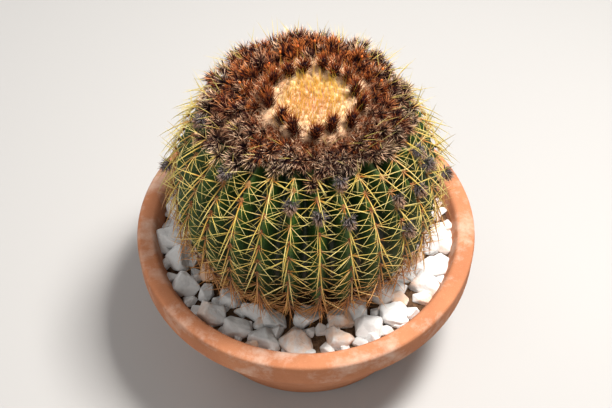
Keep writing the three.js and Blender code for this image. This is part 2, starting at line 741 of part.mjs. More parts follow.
const potted = new THREE.Group();
potted.add(mesh("pot", pot(), FINISHES.clay));
potted.add(mesh("soil", soil(), FINISHES.soil));
potted.add(mesh("stone_dressing", stoneDressing(), FINISHES.stone));
potted.add(plant);

export default potted;
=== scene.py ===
"""Golden barrel cactus in a clay pot dressed with crushed white stone. Metres, +Z up, camera on -Y."""

import json
import math
import random

import bmesh
import bpy
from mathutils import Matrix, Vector, noise

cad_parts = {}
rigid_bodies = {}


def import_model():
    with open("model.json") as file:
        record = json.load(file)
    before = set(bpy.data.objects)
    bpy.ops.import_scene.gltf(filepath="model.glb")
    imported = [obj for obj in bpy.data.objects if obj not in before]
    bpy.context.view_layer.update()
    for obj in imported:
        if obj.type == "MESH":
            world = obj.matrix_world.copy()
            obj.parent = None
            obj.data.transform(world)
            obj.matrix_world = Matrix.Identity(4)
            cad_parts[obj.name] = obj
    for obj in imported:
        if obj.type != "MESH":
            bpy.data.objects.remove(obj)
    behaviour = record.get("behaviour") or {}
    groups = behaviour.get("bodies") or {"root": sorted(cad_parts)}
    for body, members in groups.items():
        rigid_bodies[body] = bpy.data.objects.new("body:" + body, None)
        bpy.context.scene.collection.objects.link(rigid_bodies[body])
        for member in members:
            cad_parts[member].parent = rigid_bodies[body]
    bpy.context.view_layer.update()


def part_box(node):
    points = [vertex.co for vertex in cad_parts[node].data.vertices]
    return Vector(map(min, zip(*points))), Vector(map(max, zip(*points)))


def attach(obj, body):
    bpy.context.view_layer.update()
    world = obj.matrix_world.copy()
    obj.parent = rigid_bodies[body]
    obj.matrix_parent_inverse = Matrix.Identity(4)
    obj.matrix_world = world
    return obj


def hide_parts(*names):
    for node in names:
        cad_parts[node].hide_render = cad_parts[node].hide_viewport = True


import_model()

MM = 0.001
TURN = 2 * math.pi
GOLDEN_ANGLE = math.pi * (3 - math.sqrt(5))

# Stem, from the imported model's own dimensions
RIBS = 28
FIRST_RIB_AZIMUTH = math.radians(5.8)
CREST_RADIUS = 160 * MM
EQUATOR_Z = 257 * MM
CROWN_RISE = 145 * MM
CROWN_POWER = 2.25
CROWN_HOLLOW = 6 * MM
HOLLOW_RADIUS = 58 * MM
FOOT_DROP = 127 * MM
FOOT_POWER = 2.1
FURROW_DEPTH = 23 * MM
FLANK_STRAIGHTNESS = 0.62
NECK_RADIUS = 55 * MM
TAPROOT_RADIUS = 26 * MM
TAPROOT_BOTTOM = 58 * MM

# Areoles and spines
AREOLE_SPACING = 19.5 * MM
AREOLES_PER_RIB = 16
HIDDEN_AREOLES = 1
FIRST_AREOLE = 9 * MM
LOWEST_AREOLE_Z = 172 * MM
BLUNT_TIP = 0.02

# Crown
CROWN_SHIFT = (8 * MM, -9 * MM)
WOOL_RADIUS = 34 * MM
FELT_RADIUS = 76 * MM
CUSHION_REACH = 54 * MM
BUD_COUNT = 15
BUD_RING_RADIUS = 47 * MM
BUD_HEIGHT = 33 * MM
SCALES_PER_BUD = 110
THATCH_INNER = 60 * MM
THATCH_EDGE_FRONT = 93 * MM
THATCH_EDGE_BACK = 122 * MM
THATCH_EDGE_POWER = 0.6
DRIED_FLOWERS = 13

# Pot, soil and stone
POT_HEIGHT = 175 * MM
RIM_RADIUS = 215 * MM
RIM_BAND_HEIGHT = 38 * MM
RIM_THICKNESS = 22 * MM
RIM_ROUNDING = 3 * MM
BAND_STEP = 9 * MM
FOOT_RADIUS = 150 * MM
WALL = 13 * MM
POT_FLOOR = 14 * MM
DRAIN_RADIUS = 13 * MM
SOIL_TOP = 145 * MM
STONE_BED_TOP = 152 * MM
STONE_SHAPES = 12

# Radii and heights between which one state of the plant or its pot goes over into another
RIBS_BEGIN = (45 * MM, 120 * MM)
RIBS_END = (139 * MM, 192 * MM)
SPINES_SAG = (175 * MM, 240 * MM)
SPINES_FILL_OUT = (200 * MM, 265 * MM)
SPINES_AGE = (296 * MM, 230 * MM)
PADS_AGE = (300 * MM, 220 * MM)
CORK_GROWS = (205 * MM, 165 * MM)
CLAY_BLOOMS = (50 * MM, 165 * MM)

# Camera, floor and lights
VIEW_ELEVATION = math.radians(50)
VIEW_DISTANCE = 1.3
VIEW_CENTRE_Z = EQUATOR_Z + 4.5 * MM
CAMERA_PITCH = math.radians(51.4)
LENS = 63
SENSOR_WIDTH = 36
FLOOR_SIZE = 24
FLOOR_GAP = 0.5 * MM
LIT_HEIGHT = 0.25

# Spines by kind: how many on an areole, degrees from straight down, degrees off the rib, lengths, root
# radius, bow, and the share of the areoles that have them above and below
SPINE_KINDS = {
    "Level": (2, 98, (12, 30), (27 * MM, 33 * MM), 0.43 * MM, 0.2, (1.0, 1.0)),
    "Slanting": (2, 63, (12, 30), (27 * MM, 33 * MM), 0.43 * MM, 0.2, (1.0, 1.0)),
    "Steep": (2, 28, (10, 26), (20 * MM, 27 * MM), 0.38 * MM, 0.16, (0.95, 1.0)),
    "Rising": (2, 134, (10, 30), (14 * MM, 22 * MM), 0.36 * MM, 0.1, (0.6, 1.0)),
}
CENTRAL_KINDS = {
    "Downward": (1, 0, (16, 30), (42 * MM, 50 * MM), 0.85 * MM, 0.14, (1.0, 1.0)),
    "Sideways": (2, 76, (28, 46), (30 * MM, 38 * MM), 0.6 * MM, 0.12, (0.35, 1.0)),
    "Upward": (1, 178, (44, 64), (24 * MM, 31 * MM), 0.6 * MM, 0.1, (0.45, 0.7)),
    "Hanging": (2, 24, (20, 44), (30 * MM, 42 * MM), 0.55 * MM, 0.2, (0.0, 1.0)),
}


def lerp(a, b, f):
    return a + (b - a) * f


def operation(kind, swapped=False):
    """A method for Field that adds a math node of one kind."""
    def apply(self, other=0.0):
        a, b = (other, self) if swapped else (self, other)
        return self.recipe.math(kind, a, b)

    return apply


class Field:
    """A value in a node tree that takes ordinary arithmetic."""

    def __init__(self, recipe, socket):
        self.recipe = recipe
        self.socket = socket

    __add__ = operation("ADD")
    __sub__ = operation("SUBTRACT")
    __mul__ = operation("MULTIPLY")
    __truediv__ = operation("DIVIDE")
    __mod__ = operation("MODULO")
    __pow__ = operation("POWER")
    __radd__ = operation("ADD", swapped=True)
    __rsub__ = operation("SUBTRACT", swapped=True)
    __rmul__ = operation("MULTIPLY", swapped=True)
    __lt__ = operation("LESS_THAN")
    __gt__ = operation("GREATER_THAN")
    sin = operation("SINE")
    cos = operation("COSINE")
    floor = operation("FLOOR")
    sqrt = operation("SQRT")
    abs = operation("ABSOLUTE")
    at_least = operation("MAXIMUM")
    at_most = operation("MINIMUM")

    def clamped(self):
        return self.at_least(0.0).at_most(1.0)


class Recipe:
    """A Geometry Nodes tree with named inputs, grown once into a plain mesh."""

    def __init__(self, name):
        self.name = name
        self.tree = bpy.data.node_groups.new(name, "GeometryNodeTree")
        self.tree.interface.new_socket("Geometry", in_out="INPUT", socket_type="NodeSocketGeometry")
        self.tree.interface.new_socket("Geometry", in_out="OUTPUT", socket_type="NodeSocketGeometry")
        self.group_input = self.tree.nodes.new("NodeGroupInput")
        self.settings = {}

    def size(self, label, value, kind="Float"):
        """A named input of the tree. Asked for again, it is the same input."""
        if label not in self.group_input.outputs:
            item = self.tree.interface.new_socket(label, in_out="INPUT", socket_type=f"NodeSocket{kind}")
            self.settings[item.identifier] = value
        return Field(self, self.group_input.outputs[label])

    def sizes(self, **values):
        return [self.size(label.replace("_", " "), value) for label, value in values.items()]

    def node(self, kind, inputs=None, **settings):
        made = self.tree.nodes.new(kind)
        for key, value in settings.items():
            setattr(made, key, value)
        for key, value in (inputs or {}).items():
            self.feed(made.inputs[key], value)
        return made

    def feed(self, socket, value):
        if isinstance(value, Field):
            self.tree.links.new(value.socket, socket)
        elif isinstance(value, bpy.types.NodeSocket):
            self.tree.links.new(value, socket)
        else:
            socket.default_value = value

    def field(self, kind, output, inputs=None, **settings):
        return Field(self, self.node(kind, inputs, **settings).outputs[output])

    def math(self, kind, a, b):
        return self.field("ShaderNodeMath", 0, {0: a, 1: b}, operation=kind)

    def index(self):
        return self.field("GeometryNodeInputIndex", 0)

    def groups(self, number, each):
        """Splits a running number into the number of its group and the place in that group."""
        group = ((number + 0.5) / each).floor()
        return group, number - group * each

    def random(self, low, high, seed, ident=None):
        inputs = {2: low, 3: high, "Seed": seed}
        if ident is not None:
            inputs["ID"] = ident
        return self.field("FunctionNodeRandomValue", 1, inputs, data_type="FLOAT")

    def sway(self, reach, seed, ident=None):
        return self.random(-reach, reach, seed, ident)

    def chance(self, seed, ident=None):
        return self.random(0.0, 1.0, seed, ident)

    def noise(self, place, scale):
        return self.field("ShaderNodeTexNoise", 0, {"Vector": place, "Scale": scale, "Detail": 3.0})

    def smooth(self, value, low, high):
        return self.field("ShaderNodeMapRange", 0, {0: value, 1: low, 2: high},
                          interpolation_type="SMOOTHSTEP")

    def vector(self, x, y, z):
        return self.field("ShaderNodeCombineXYZ", 0, {0: x, 1: y, 2: z})

    def even(self, size):
        return self.vector(size, size, size)

    def parts(self, vector):
        node = self.node("ShaderNodeSeparateXYZ", {0: vector})
        return [Field(self, node.outputs[i]) for i in range(3)]

    def combine(self, *terms):
        """Sum of vectors, each given with its factor."""
        total = None
        for vector, factor in terms:
            scaled = self.field("ShaderNodeVectorMath", 0, {0: vector, "Scale": factor}, operation="SCALE")
            if total is None:
                total = scaled
            else:
                total = self.field("ShaderNodeVectorMath", 0, {0: total, 1: scaled}, operation="ADD")
        return total

    def mark(self, geometry, **marks):
        """Stores values on the points under their names, for the materials to read."""
        for name, value in marks.items():
            inputs = {"Geometry": geometry, "Name": name, "Value": value}
            geometry = self.field("GeometryNodeStoreNamedAttribute", 0, inputs, data_type="FLOAT",
                                  domain="POINT")
        return geometry

    def moved(self, geometry, position):
        return self.field("GeometryNodeSetPosition", 0, {"Geometry": geometry, "Position": position})

    def points(self, count, position, **marks):
        cloud = self.node("GeometryNodePoints", {"Count": count}).outputs[0]
        return self.mark(self.moved(cloud, position), **marks)

    def ball(self, subdivisions):
        return self.field("GeometryNodeMeshIcoSphere", 0, {"Radius": 1.0, "Subdivisions": subdivisions})

    def aim(self, direction, across):
        """Rotation that turns +Z to a direction and +X to the side of another."""
        inputs = {"Primary Axis": direction, "Secondary Axis": across}
        return self.field("FunctionNodeAxesToRotation", 0, inputs, primary_axis="Z", secondary_axis="X")

    def instances(self, points, shape, rotation, scale, **more):
        inputs = {"Points": points, "Instance": shape, "Rotation": rotation, "Scale": scale, **more}
        return self.field("GeometryNodeInstanceOnPoints", 0, inputs)

    def join(self, *geometries):
        node = self.node("GeometryNodeJoinGeometry")
        for geometry in geometries:
            self.tree.links.new(geometry.socket, node.inputs[0])
        return Field(self, node.outputs[0])

    def grow(self, geometry, material, smooth=True):
        """Ends the tree, evaluates it once and returns the object as a plain mesh."""
        solid = self.field("GeometryNodeRealizeInstances", 0, {"Geometry": geometry})
        if smooth:
            solid = self.field("GeometryNodeSetShadeSmooth", 0, {"Geometry": solid})
        solid = self.field("GeometryNodeSetMaterial", 0, {"Geometry": solid, "Material": material})
        output = self.tree.nodes.new("NodeGroupOutput")
        self.tree.links.new(solid.socket, output.inputs[0])
        seedbed = bpy.data.objects.new("seedbed", bpy.data.meshes.new("seedbed"))
        bpy.context.collection.objects.link(seedbed)
        modifier = seedbed.modifiers.new("grow", "NODES")
        modifier.node_group = self.tree
        for identifier, value in self.settings.items():
            modifier[identifier] = value
        bpy.context.view_layer.update()
        evaluated = seedbed.evaluated_get(bpy.context.evaluated_depsgraph_get())
        mesh = bpy.data.meshes.new_from_object(evaluated)
        bpy.data.objects.remove(seedbed)
        mesh.name = self.name
        return placed_object(self.name, mesh)


def placed_object(name, data):
    made = bpy.data.objects.new(name, data)
    bpy.context.collection.objects.link(made)
    return made


def crest_points():
    """The crest line in the XZ plane, from the crown over the swell to the taproot's end."""
    steps = 120
    points = []
    for i in range(steps + 1):
        a = i / steps * math.pi / 2
        r = CREST_RADIUS * math.sin(a) ** (2 / CROWN_POWER)
        hollow = CROWN_HOLLOW * max(0, 1 - (r / HOLLOW_RADIUS) ** 2) ** 2
        points.append((r, EQUATOR_Z + CROWN_RISE * max(0, math.cos(a)) ** (2 / CROWN_POWER) - hollow))
    for i in range(1, steps):
        a = i / steps * math.pi / 2
        r = CREST_RADIUS * math.cos(a) ** (2 / FOOT_POWER)
        if r < NECK_RADIUS:
            break
        points.append((r, EQUATOR_Z - FOOT_DROP * math.sin(a) ** (2 / FOOT_POWER)))
    points.append((TAPROOT_RADIUS, TAPROOT_BOTTOM))
    points.append((0, TAPROOT_BOTTOM - 2 * MM))
    return points


CREST = crest_points()


def crest_length(test):
    """Distance along the crest line from the crown to the first point that passes a test."""
    length = 0
    for i, point in enumerate(CREST):
        if i:
            length += math.dist(point, CREST[i - 1])
        if test(point):
            return length
    return length


def at_crown_radius(radius):
    return crest_length(lambda p: p[0] >= radius)


# Distances along the crest line
EDGE_FRONT = at_crown_radius(THATCH_EDGE_FRONT)
EDGE_BACK = at_crown_radius(THATCH_EDGE_BACK)
THATCH_START = at_crown_radius(THATCH_INNER)
FELT_REACH = at_crown_radius(FELT_RADIUS)
EQUATOR_S = at_crown_radius(CREST_RADIUS * 0.9999)
STEM_LENGTH = crest_length(lambda p: False)


def crest_line_object():
    curve = bpy.data.curves.new("crest_line", "CURVE")
    curve.dimensions = "3D"
    spline = curve.splines.new("POLY")
    spline.points.add(len(CREST) - 1)
    for place, (r, z) in zip(spline.points, CREST):
        place.co = (r, 0, z, 1)
    return placed_object("crest_line", curve)


class StemRecipe(Recipe):
    """A recipe that places things on the stem, by azimuth and by distance s along the crest line."""

    def __init__(self, name):
        super().__init__(name)
        crest = self.size("Crest line", CREST_LINE, "Object")
        self.crest = self.node("GeometryNodeObjectInfo", {"Object": crest}).outputs["Geometry"]

    def crest_at(self, s):
        """Radius and height of the crest line, and its direction."""
        sample = self.node("GeometryNodeSampleCurve", {"Curves": self.crest, "Length": s}, mode="LENGTH",
                           use_all_curves=True)
        r, _, z = self.parts(sample.outputs["Position"])
        down_r, _, down_z = self.parts(sample.outputs["Tangent"])
        return r, z, down_r, down_z

    def around(self, r, azimuth, z):
        return self.vector(r * azimuth.sin(), (r * azimuth.cos()) * -1, z)

    def surface(self, s, azimuth, lift):
        """A place over the crest surface with its frame: position, out, down, side."""
        r, z, down_r, down_z = self.crest_at(s)
        out_r = down_z * -1
        out = self.around(out_r, azimuth, down_r)
        down = self.around(down_r, azimuth, down_z)
        side = self.vector(azimuth.cos(), azimuth.sin(), 0.0)
        position = self.around(r + out_r * lift, azimuth, z + down_r * lift)
        return position, out, down, side

    def crown(self, s, azimuth, lift):
        """The same on the crown, whose middle has grown to one side.

        The shift fades out from the start of the thatch to its edge.
        """
        inner, shift_x, shift_y = self.sizes(
            Crown_middle=THATCH_START, Crown_shift_x=CROWN_SHIFT[0], Crown_shift_y=CROWN_SHIFT[1])
        hold = 1 - ((s - inner) / (self.thatch_edge(azimuth) - inner)).clamped()
        x = azimuth.sin() * s + hold * shift_x
        y = hold * shift_y - azimuth.cos() * s
        return self.surface((x * x + y * y).sqrt(), self.math("ARCTAN2", x, y * -1), lift)

    def in_back(self, azimuth):
        """0 at the front of the plant, rising to 1 at its back."""
        return (1 - azimuth.cos()) * 0.5

    def thatch_edge(self, azimuth):
        front, back = self.sizes(Thatch_edge_front=EDGE_FRONT, Thatch_edge_back=EDGE_BACK)
        return front + (back - front) * self.in_back(azimuth) ** THATCH_EDGE_POWER

    def rib_azimuth(self, rib):
        return rib * (TURN / RIBS) + FIRST_RIB_AZIMUTH

    def areole(self, number, lift):
        """Frame over an areole by its number, its height, its place on its rib and whether it is shown."""
        spacing, lowest = self.sizes(Areole_spacing=AREOLE_SPACING, Lowest_areole=LOWEST_AREOLE_Z)
        rib, step = self.groups(number, AREOLES_PER_RIB)
        azimuth = self.rib_azimuth(rib)
        alternate = (rib % 2) * (spacing * 0.5)
        s = self.thatch_edge(azimuth) + FIRST_AREOLE + alternate + (step - HIDDEN_AREOLES) * spacing
        stand = self.surface(s, azimuth, lift)
        _, _, z = self.parts(stand[0])
        shown = (z > lowest) * (step > HIDDEN_AREOLES - 0.5)
        return stand, z, step, shown

    def evenly(self, f, inner, outer):
        """Distance from the middle at a share of a ring's area."""
        return (f * (outer * outer - inner * inner) + inner * inner).sqrt()

    def sheet(self, columns, rows):
        """A unit grid to wrap round the stem, with the azimuth of its columns and the Y of its rows."""
        grid = self.field("GeometryNodeMeshGrid", 0, {
            "Size X": 1.0, "Size Y": 1.0, "Vertices X": columns, "Vertices Y": rows})
        x, y, _ = self.parts(self.node("GeometryNodeInputPosition").outputs[0])
        return grid, (x + 0.5) * TURN, y

    def wrapped(self, sheet, position):
        """The sheet at its place, with its seam and its middle closed."""
        skin = self.moved(sheet, position)
        return self.field("GeometryNodeMergeByDistance", 0, {"Geometry": skin, "Distance": 0.02 * MM})

    def blade(self, sides, segments, girth, bow, fullness):
        """A pointed needle along +Z, 1 long. Girth is its root radius, bow how far its tip goes to +X."""
        line = self.node("GeometryNodeCurvePrimitiveLine", {"End": (0, 0, 1)}).outputs[0]
        line = self.node("GeometryNodeResampleCurve", {"Curve": line, "Count": segments + 1}).outputs[0]
        t = self.field("GeometryNodeSplineParameter", 0)
        line = self.mark(self.moved(line, self.vector(t * t * bow, 0.0, t)), along=t)
        width = ((1 - t) * (1 + t * fullness) + BLUNT_TIP) * girth
        ring = self.node("GeometryNodeCurvePrimitiveCircle", {"Resolution": sides, "Radius": 1.0}).outputs[0]
        return self.field("GeometryNodeCurveToMesh", 0, {
            "Curve": line, "Profile Curve": ring, "Scale": width, "Fill Caps": True})


def ribbed_stem(material):
    """The green stem: the crest line swept round the axis with its ribs pressed in by a formula."""
    r = StemRecipe("ribbed_stem")
    columns_per_rib, rows = 12, 140
    ribs, depth, length, spacing, swelling, lead, unevenness = r.sizes(
        Ribs=RIBS, Furrow_depth=FURROW_DEPTH, Stem_length=STEM_LENGTH, Areole_spacing=AREOLE_SPACING,
        Areole_swelling=1.4 * MM, Swelling_lead=0.9, Unevenness=3 * MM)
    grid, azimuth, y = r.sheet(RIBS * columns_per_rib + 1, rows)
    s = (0.5 - y) * length
    turn = azimuth - FIRST_RIB_AZIMUTH
    across = (turn * ribs * 0.5).sin().abs()
    flank = across * FLANK_STRAIGHTNESS + (across * across) * (1 - FLANK_STRAIGHTNESS)
    radius, height, *_ = r.crest_at(s)
    below = s > EQUATOR_S
    fade = r.smooth(radius, *RIBS_BEGIN) * (1 - below) + r.smooth(height, *RIBS_END) * below
    rib = (turn * (RIBS / TURN) + 0.5).floor()
    phase = (s - r.thatch_edge(azimuth) - FIRST_AREOLE) / spacing - r.math("PINGPONG", rib, 1.0) * 0.5
    swell = (phase * TURN + lead).cos() * ((1 - across) * (1 - across)) * swelling
    wobble = r.noise(r.vector(azimuth.sin() * 2, azimuth.cos() * 2, y * 3), scale=3.0) - 0.5
    lift = (swell - depth * flank + wobble * unevenness) * fade
    place, *_ = r.surface(s, azimuth, lift)
    return r.grow(r.wrapped(r.mark(grid, furrow=across), place), material)


def spines(name, material, kinds, seed):
    """Spines standing in a star on every areole. Each kind leaves it at its own angle from straight down."""
    r = StemRecipe(name)
    first_draw = r.size("Seed", seed, "Int")
    draws_per_kind = 20
    grown = []
    for n, (label, (each, angle, lift, length, root_radius, bow, shares)) in enumerate(kinds.items()):
        draw = first_draw + draws_per_kind * n
        turn, low, high, short, long, thick, bowed, above, below = r.sizes(**{
            f"{label}_angle": math.radians(angle), f"{label}_lowest_lift": math.radians(lift[0]),
            f"{label}_highest_lift": math.radians(lift[1]), f"{label}_shortest": length[0],
            f"{label}_longest": length[1], f"{label}_root_radius": root_radius, f"{label}_bow": bow,
            f"{label}_share_above": shares[0], f"{label}_share_below": shares[1]})
        number, twin = r.groups(r.index(), each)
        (place, out, down, side), z, _, shown = r.areole(number, 0.6 * MM)
        swing = (turn + r.sway(0.2, draw)) * (1 - twin * 2)
        rise = r.random(low, high, draw + 1)
        sag = (1 - r.smooth(z, *SPINES_SAG)) * 0.5
        direction = r.combine((down, swing.cos() * rise.cos() + sag), (side, swing.sin() * rise.cos()),
                              (out, rise.sin()))
        root = r.combine((place, 1.0), (direction, 0.8 * MM))
        cloud = r.points(RIBS * AREOLES_PER_RIB * each, root, tone=r.chance(draw + 2))
        share = above + (below - above) * (1 - r.smooth(z, *SPINES_FILL_OUT))
        wanted = shown * (r.chance(draw + 3) < share)
        bend = r.combine((out, -1.0), (down, r.sway(0.5, draw + 4)), (side, r.sway(0.5, draw + 5)))
        reach = r.even(r.random(short, long, draw + 6))
        shape = r.blade(5, 4, girth=thick / long, bow=bowed, fullness=1.0)
        grown.append(r.instances(cloud, shape, r.aim(direction, bend), reach, Selection=wanted))
    return r.grow(r.join(*grown), material)


def thatch_spines(material):
    """Golden spines of the topmost areoles, standing up through the dried flower remains."""
    r = StemRecipe("thatch_spines")
    short, long, thick, row_gap, overhang, root_lift, back_lift = r.sizes(
        Shortest=24 * MM, Longest=36 * MM, Root_radius=0.42 * MM, Row_gap=0.75 * AREOLE_SPACING,
        Overhang=5 * MM, Root_lift=3 * MM, Extra_lift_in_back=7 * MM)
    draw = r.size("Seed", 250, "Int")
    rows, each = 3, 4
    rib, spine = r.groups(r.index(), rows * each)
    row, _ = r.groups(spine, each)
    azimuth = r.rib_azimuth(rib)
    back = r.in_back(azimuth)
    at_edge = (1 - row).clamped() * (1 - back)
    s = r.thatch_edge(azimuth) - row * row_gap + at_edge * overhang
    place, out, down, side = r.surface(s, azimuth, root_lift + back * back_lift)
    direction = r.combine((out, 0.9 - at_edge * 0.3), (down, r.random(-0.3, 0.8, draw + 1) + at_edge * 0.6),
                          (side, r.sway(0.9, draw + 2)))
    cloud = r.points(RIBS * rows * each, place, tone=r.chance(draw + 3))
    wanted = r.chance(draw + 4) < (back.sqrt() * 0.45 + 0.14 + at_edge * 0.7)
    shape = r.blade(5, 4, girth=thick / long, bow=0.12, fullness=1.0)
    reach = r.even(r.random(short, long, draw + 5))
    return r.grow(r.instances(cloud, shape, r.aim(direction, down), reach, Selection=wanted), material)


def areole_pads(material):
    """Small felted pads that the spines stand in. Those next to the thatch are the largest."""
    r = StemRecipe("areole_pads")
    long, wide, thick = r.sizes(Pad_length=3.4 * MM, Pad_width=2.0 * MM, Pad_thickness=1.5 * MM)
    (place, out, down, _), _, step, shown = r.areole(r.index(), 0.5 * MM)
    young = 1 - ((step - HIDDEN_AREOLES) / 2).clamped()
    cloud = r.points(RIBS * AREOLES_PER_RIB, place, young=young)
    growth = r.random(0.8, 1.2, seed=5) + young * 0.25
    size = r.vector(long * growth, wide * growth, thick)
    return r.grow(r.instances(cloud, r.ball(2), r.aim(out, down), size, Selection=shown), material)


def felt(material):
    """Soft base of the crown: wool in its middle, then a mat under the thatch. Its material paints it darker
    than the cushions as shade between them, and near black under the thatch.
    """
    r = StemRecipe("crown_felt")
    reach, thick, margin, clearance = r.sizes(
        Wool_reach=FELT_REACH, Felt_thickness=4 * MM, Felt_margin=6 * MM, Clearance=0.3 * MM)
    grid, azimuth, y = r.sheet(columns=145, rows=50)
    f = 0.5 - y
    s = f * (r.thatch_edge(azimuth) - margin)
    lumps = r.noise(r.vector(azimuth.sin() * f, azimuth.cos() * f, 0.0), scale=11.0)
    lift = (thick * (lumps + 0.6)) * (1 - r.smooth(f, 0.9, 1.0)) + clearance
    place, *_ = r.crown(s, azimuth, lift)
    return r.grow(r.wrapped(r.mark(grid, share=s / reach), place), material)


def wool_cushions(material):
    """Woolly cushions of the crown in a sunflower spiral: soft lumps with short wool standing off them."""
    r = StemRecipe("wool_cushions")
    outer, size, growth, height, fluff, usual_radius, widest_splay = r.sizes(
        Cushion_reach=at_crown_radius(CUSHION_REACH), Cushion_size=1.7 * MM, Cushion_growth=0.082,
        Cushion_height=4.5 * MM, Fluff_length=3.8 * MM, Usual_radius=4 * MM, Widest_splay=1.5)
    count, hairs = 122, 76

    def cushion(number):
        azimuth = (number * GOLDEN_ANGLE + r.sway(0.12, seed=3, ident=number)) % TURN
        s = ((number + 0.5) / count).sqrt() * outer
        raised = r.smooth(s, WOOL_RADIUS, CUSHION_REACH) * r.in_back(azimuth)
        stand = r.crown(s, azimuth, (raised + 1) * height)
        radius = (size + s * growth) * r.random(0.85, 1.2, seed=7, ident=number)
        return stand, s / FELT_REACH, radius

    (place, out, down, _), share, radius = cushion(r.index())
    cloud = r.points(count, place, share=share, lump=1.0)
    lumps = r.instances(cloud, r.ball(3), r.aim(out, down), r.even(radius))
    number, strand = r.groups(r.index(), hairs)
    (place, out, down, side), share, radius = cushion(number)
    splay = ((strand + 0.5) / hairs).sqrt() * widest_splay
    turn = strand * GOLDEN_ANGLE
    direction = r.combine((out, splay.cos()), (down, turn.cos() * splay.sin()),
                          (side, turn.sin() * splay.sin()))
    root = r.combine((place, 1.0), (direction, radius * 0.85))
    cloud = r.points(count * hairs, root, share=share, tone=r.chance(seed=11), lump=1.0)
    ruffled = r.combine((direction, 1.0), (down, r.sway(0.5, seed=8)), (side, r.sway(0.5, seed=9)))
    shape = r.blade(3, 1, girth=0.065, bow=0.0, fullness=0.3)
    length = fluff * r.random(0.6, 1.4, seed=10) * (radius / usual_radius)
    wool = r.instances(cloud, shape, r.aim(ruffled, down), r.even(length))
    return r.grow(r.join(lumps, wool), material)


def crown_hair(name, material, count, reach, base, length, radius, tilt, seed, sides=3, segments=2):
    """Fine hairs or young spines in a sunflower spiral over the crown, between two radii."""
    r = StemRecipe(name)
    inner, outer, height, short, long, thick = r.sizes(
        Inner_reach=at_crown_radius(reach[0]), Outer_reach=at_crown_radius(reach[1]), Base_height=base,
        Shortest=length[0], Longest=length[1], Hair_radius=radius)
    draw = r.size("Seed", seed, "Int")
    azimuth = (r.index() * GOLDEN_ANGLE + r.sway(0.4, draw)) % TURN
    s = r.evenly((r.index() + 0.5) / count, inner, outer)
    place, out, down, side = r.crown(s, azimuth, height)
    direction = r.combine((out, 1.0), (down, r.sway(tilt, draw + 1)), (side, r.sway(tilt, draw + 2)))
    cloud = r.points(count, place, tone=r.chance(draw + 3), share=s / FELT_REACH)
    shape = r.blade(sides, segments, girth=thick / long, bow=0.12, fullness=0.2)
    hairs = r.instances(cloud, shape, r.aim(direction, side), r.even(r.random(short, long, draw + 4)))
    return r.grow(hairs, material)


def bud_tufts(material):
    """Ring of dark pointed buds, each a core wrapped in overlapping stiff scales that flare at its top."""
    r = StemRecipe("bud_tufts")
    ring, foot, height, girth, wide, flatness, scaled, scale_length = r.sizes(
        Ring_reach=at_crown_radius(BUD_RING_RADIUS), Bud_foot=3 * MM, Bud_height=BUD_HEIGHT,
        Bud_girth=4.2 * MM, Scale_width=0.62 * MM, Scale_flatness=0.6, Share_with_scales=0.62,
        Scale_length_share=0.42)

    def bud_frame(bud):
        azimuth = bud * (TURN / BUD_COUNT) + r.sway(0.06, seed=11, ident=bud)
        s = ring + r.random(-2.5 * MM, 5 * MM, seed=12, ident=bud)
        place, out, down, side = r.crown(s, azimuth, foot)
        axis = r.combine((out, 1.0), (down, r.random(-0.3, -0.05, seed=13, ident=bud)),
                         (side, r.sway(0.18, seed=14, ident=bud)))
        return place, axis, down, side

    bud, number = r.groups(r.index(), SCALES_PER_BUD)
    place, axis, down, side = bud_frame(bud)
    rise = number / SCALES_PER_BUD
    turn = number * GOLDEN_ANGLE
    belly = ((rise * 0.8 + 0.14) * math.pi).sin()
    outward = r.combine((down, turn.cos()), (side, turn.sin()))
    tall = height * r.random(0.82, 1.08, seed=18, ident=bud)
    root = r.combine((place, 1.0), (axis, rise * tall * scaled), (outward, belly * girth * 0.75))
    opening = 0.34 + rise * 0.22 + r.random(-0.25, 0.55, seed=15)
    direction = r.combine((axis, 1.0), (outward, opening))
    cloud = r.points(BUD_COUNT * SCALES_PER_BUD, root, tone=r.chance(seed=16), rise=rise)
    reach = height * scale_length
    shape = r.blade(4, 2, girth=wide / reach, bow=-0.08, fullness=1.3)
    size = reach * r.random(0.7, 1.2, seed=17)
    scales = r.instances(cloud, shape, r.aim(direction, outward), r.vector(size * flatness, size, size))
    place, axis, down, _ = bud_frame(r.index())
    middle = r.combine((place, 1.0), (axis, height * 0.34))
    core_size = r.vector(girth * 0.8, girth * 0.8, height * 0.36)
    hearts = r.points(BUD_COUNT, middle, tone=0.2, rise=0.7)
    cores = r.instances(hearts, r.ball(3), r.aim(axis, down), core_size)
    return r.grow(r.join(scales, cores), material)


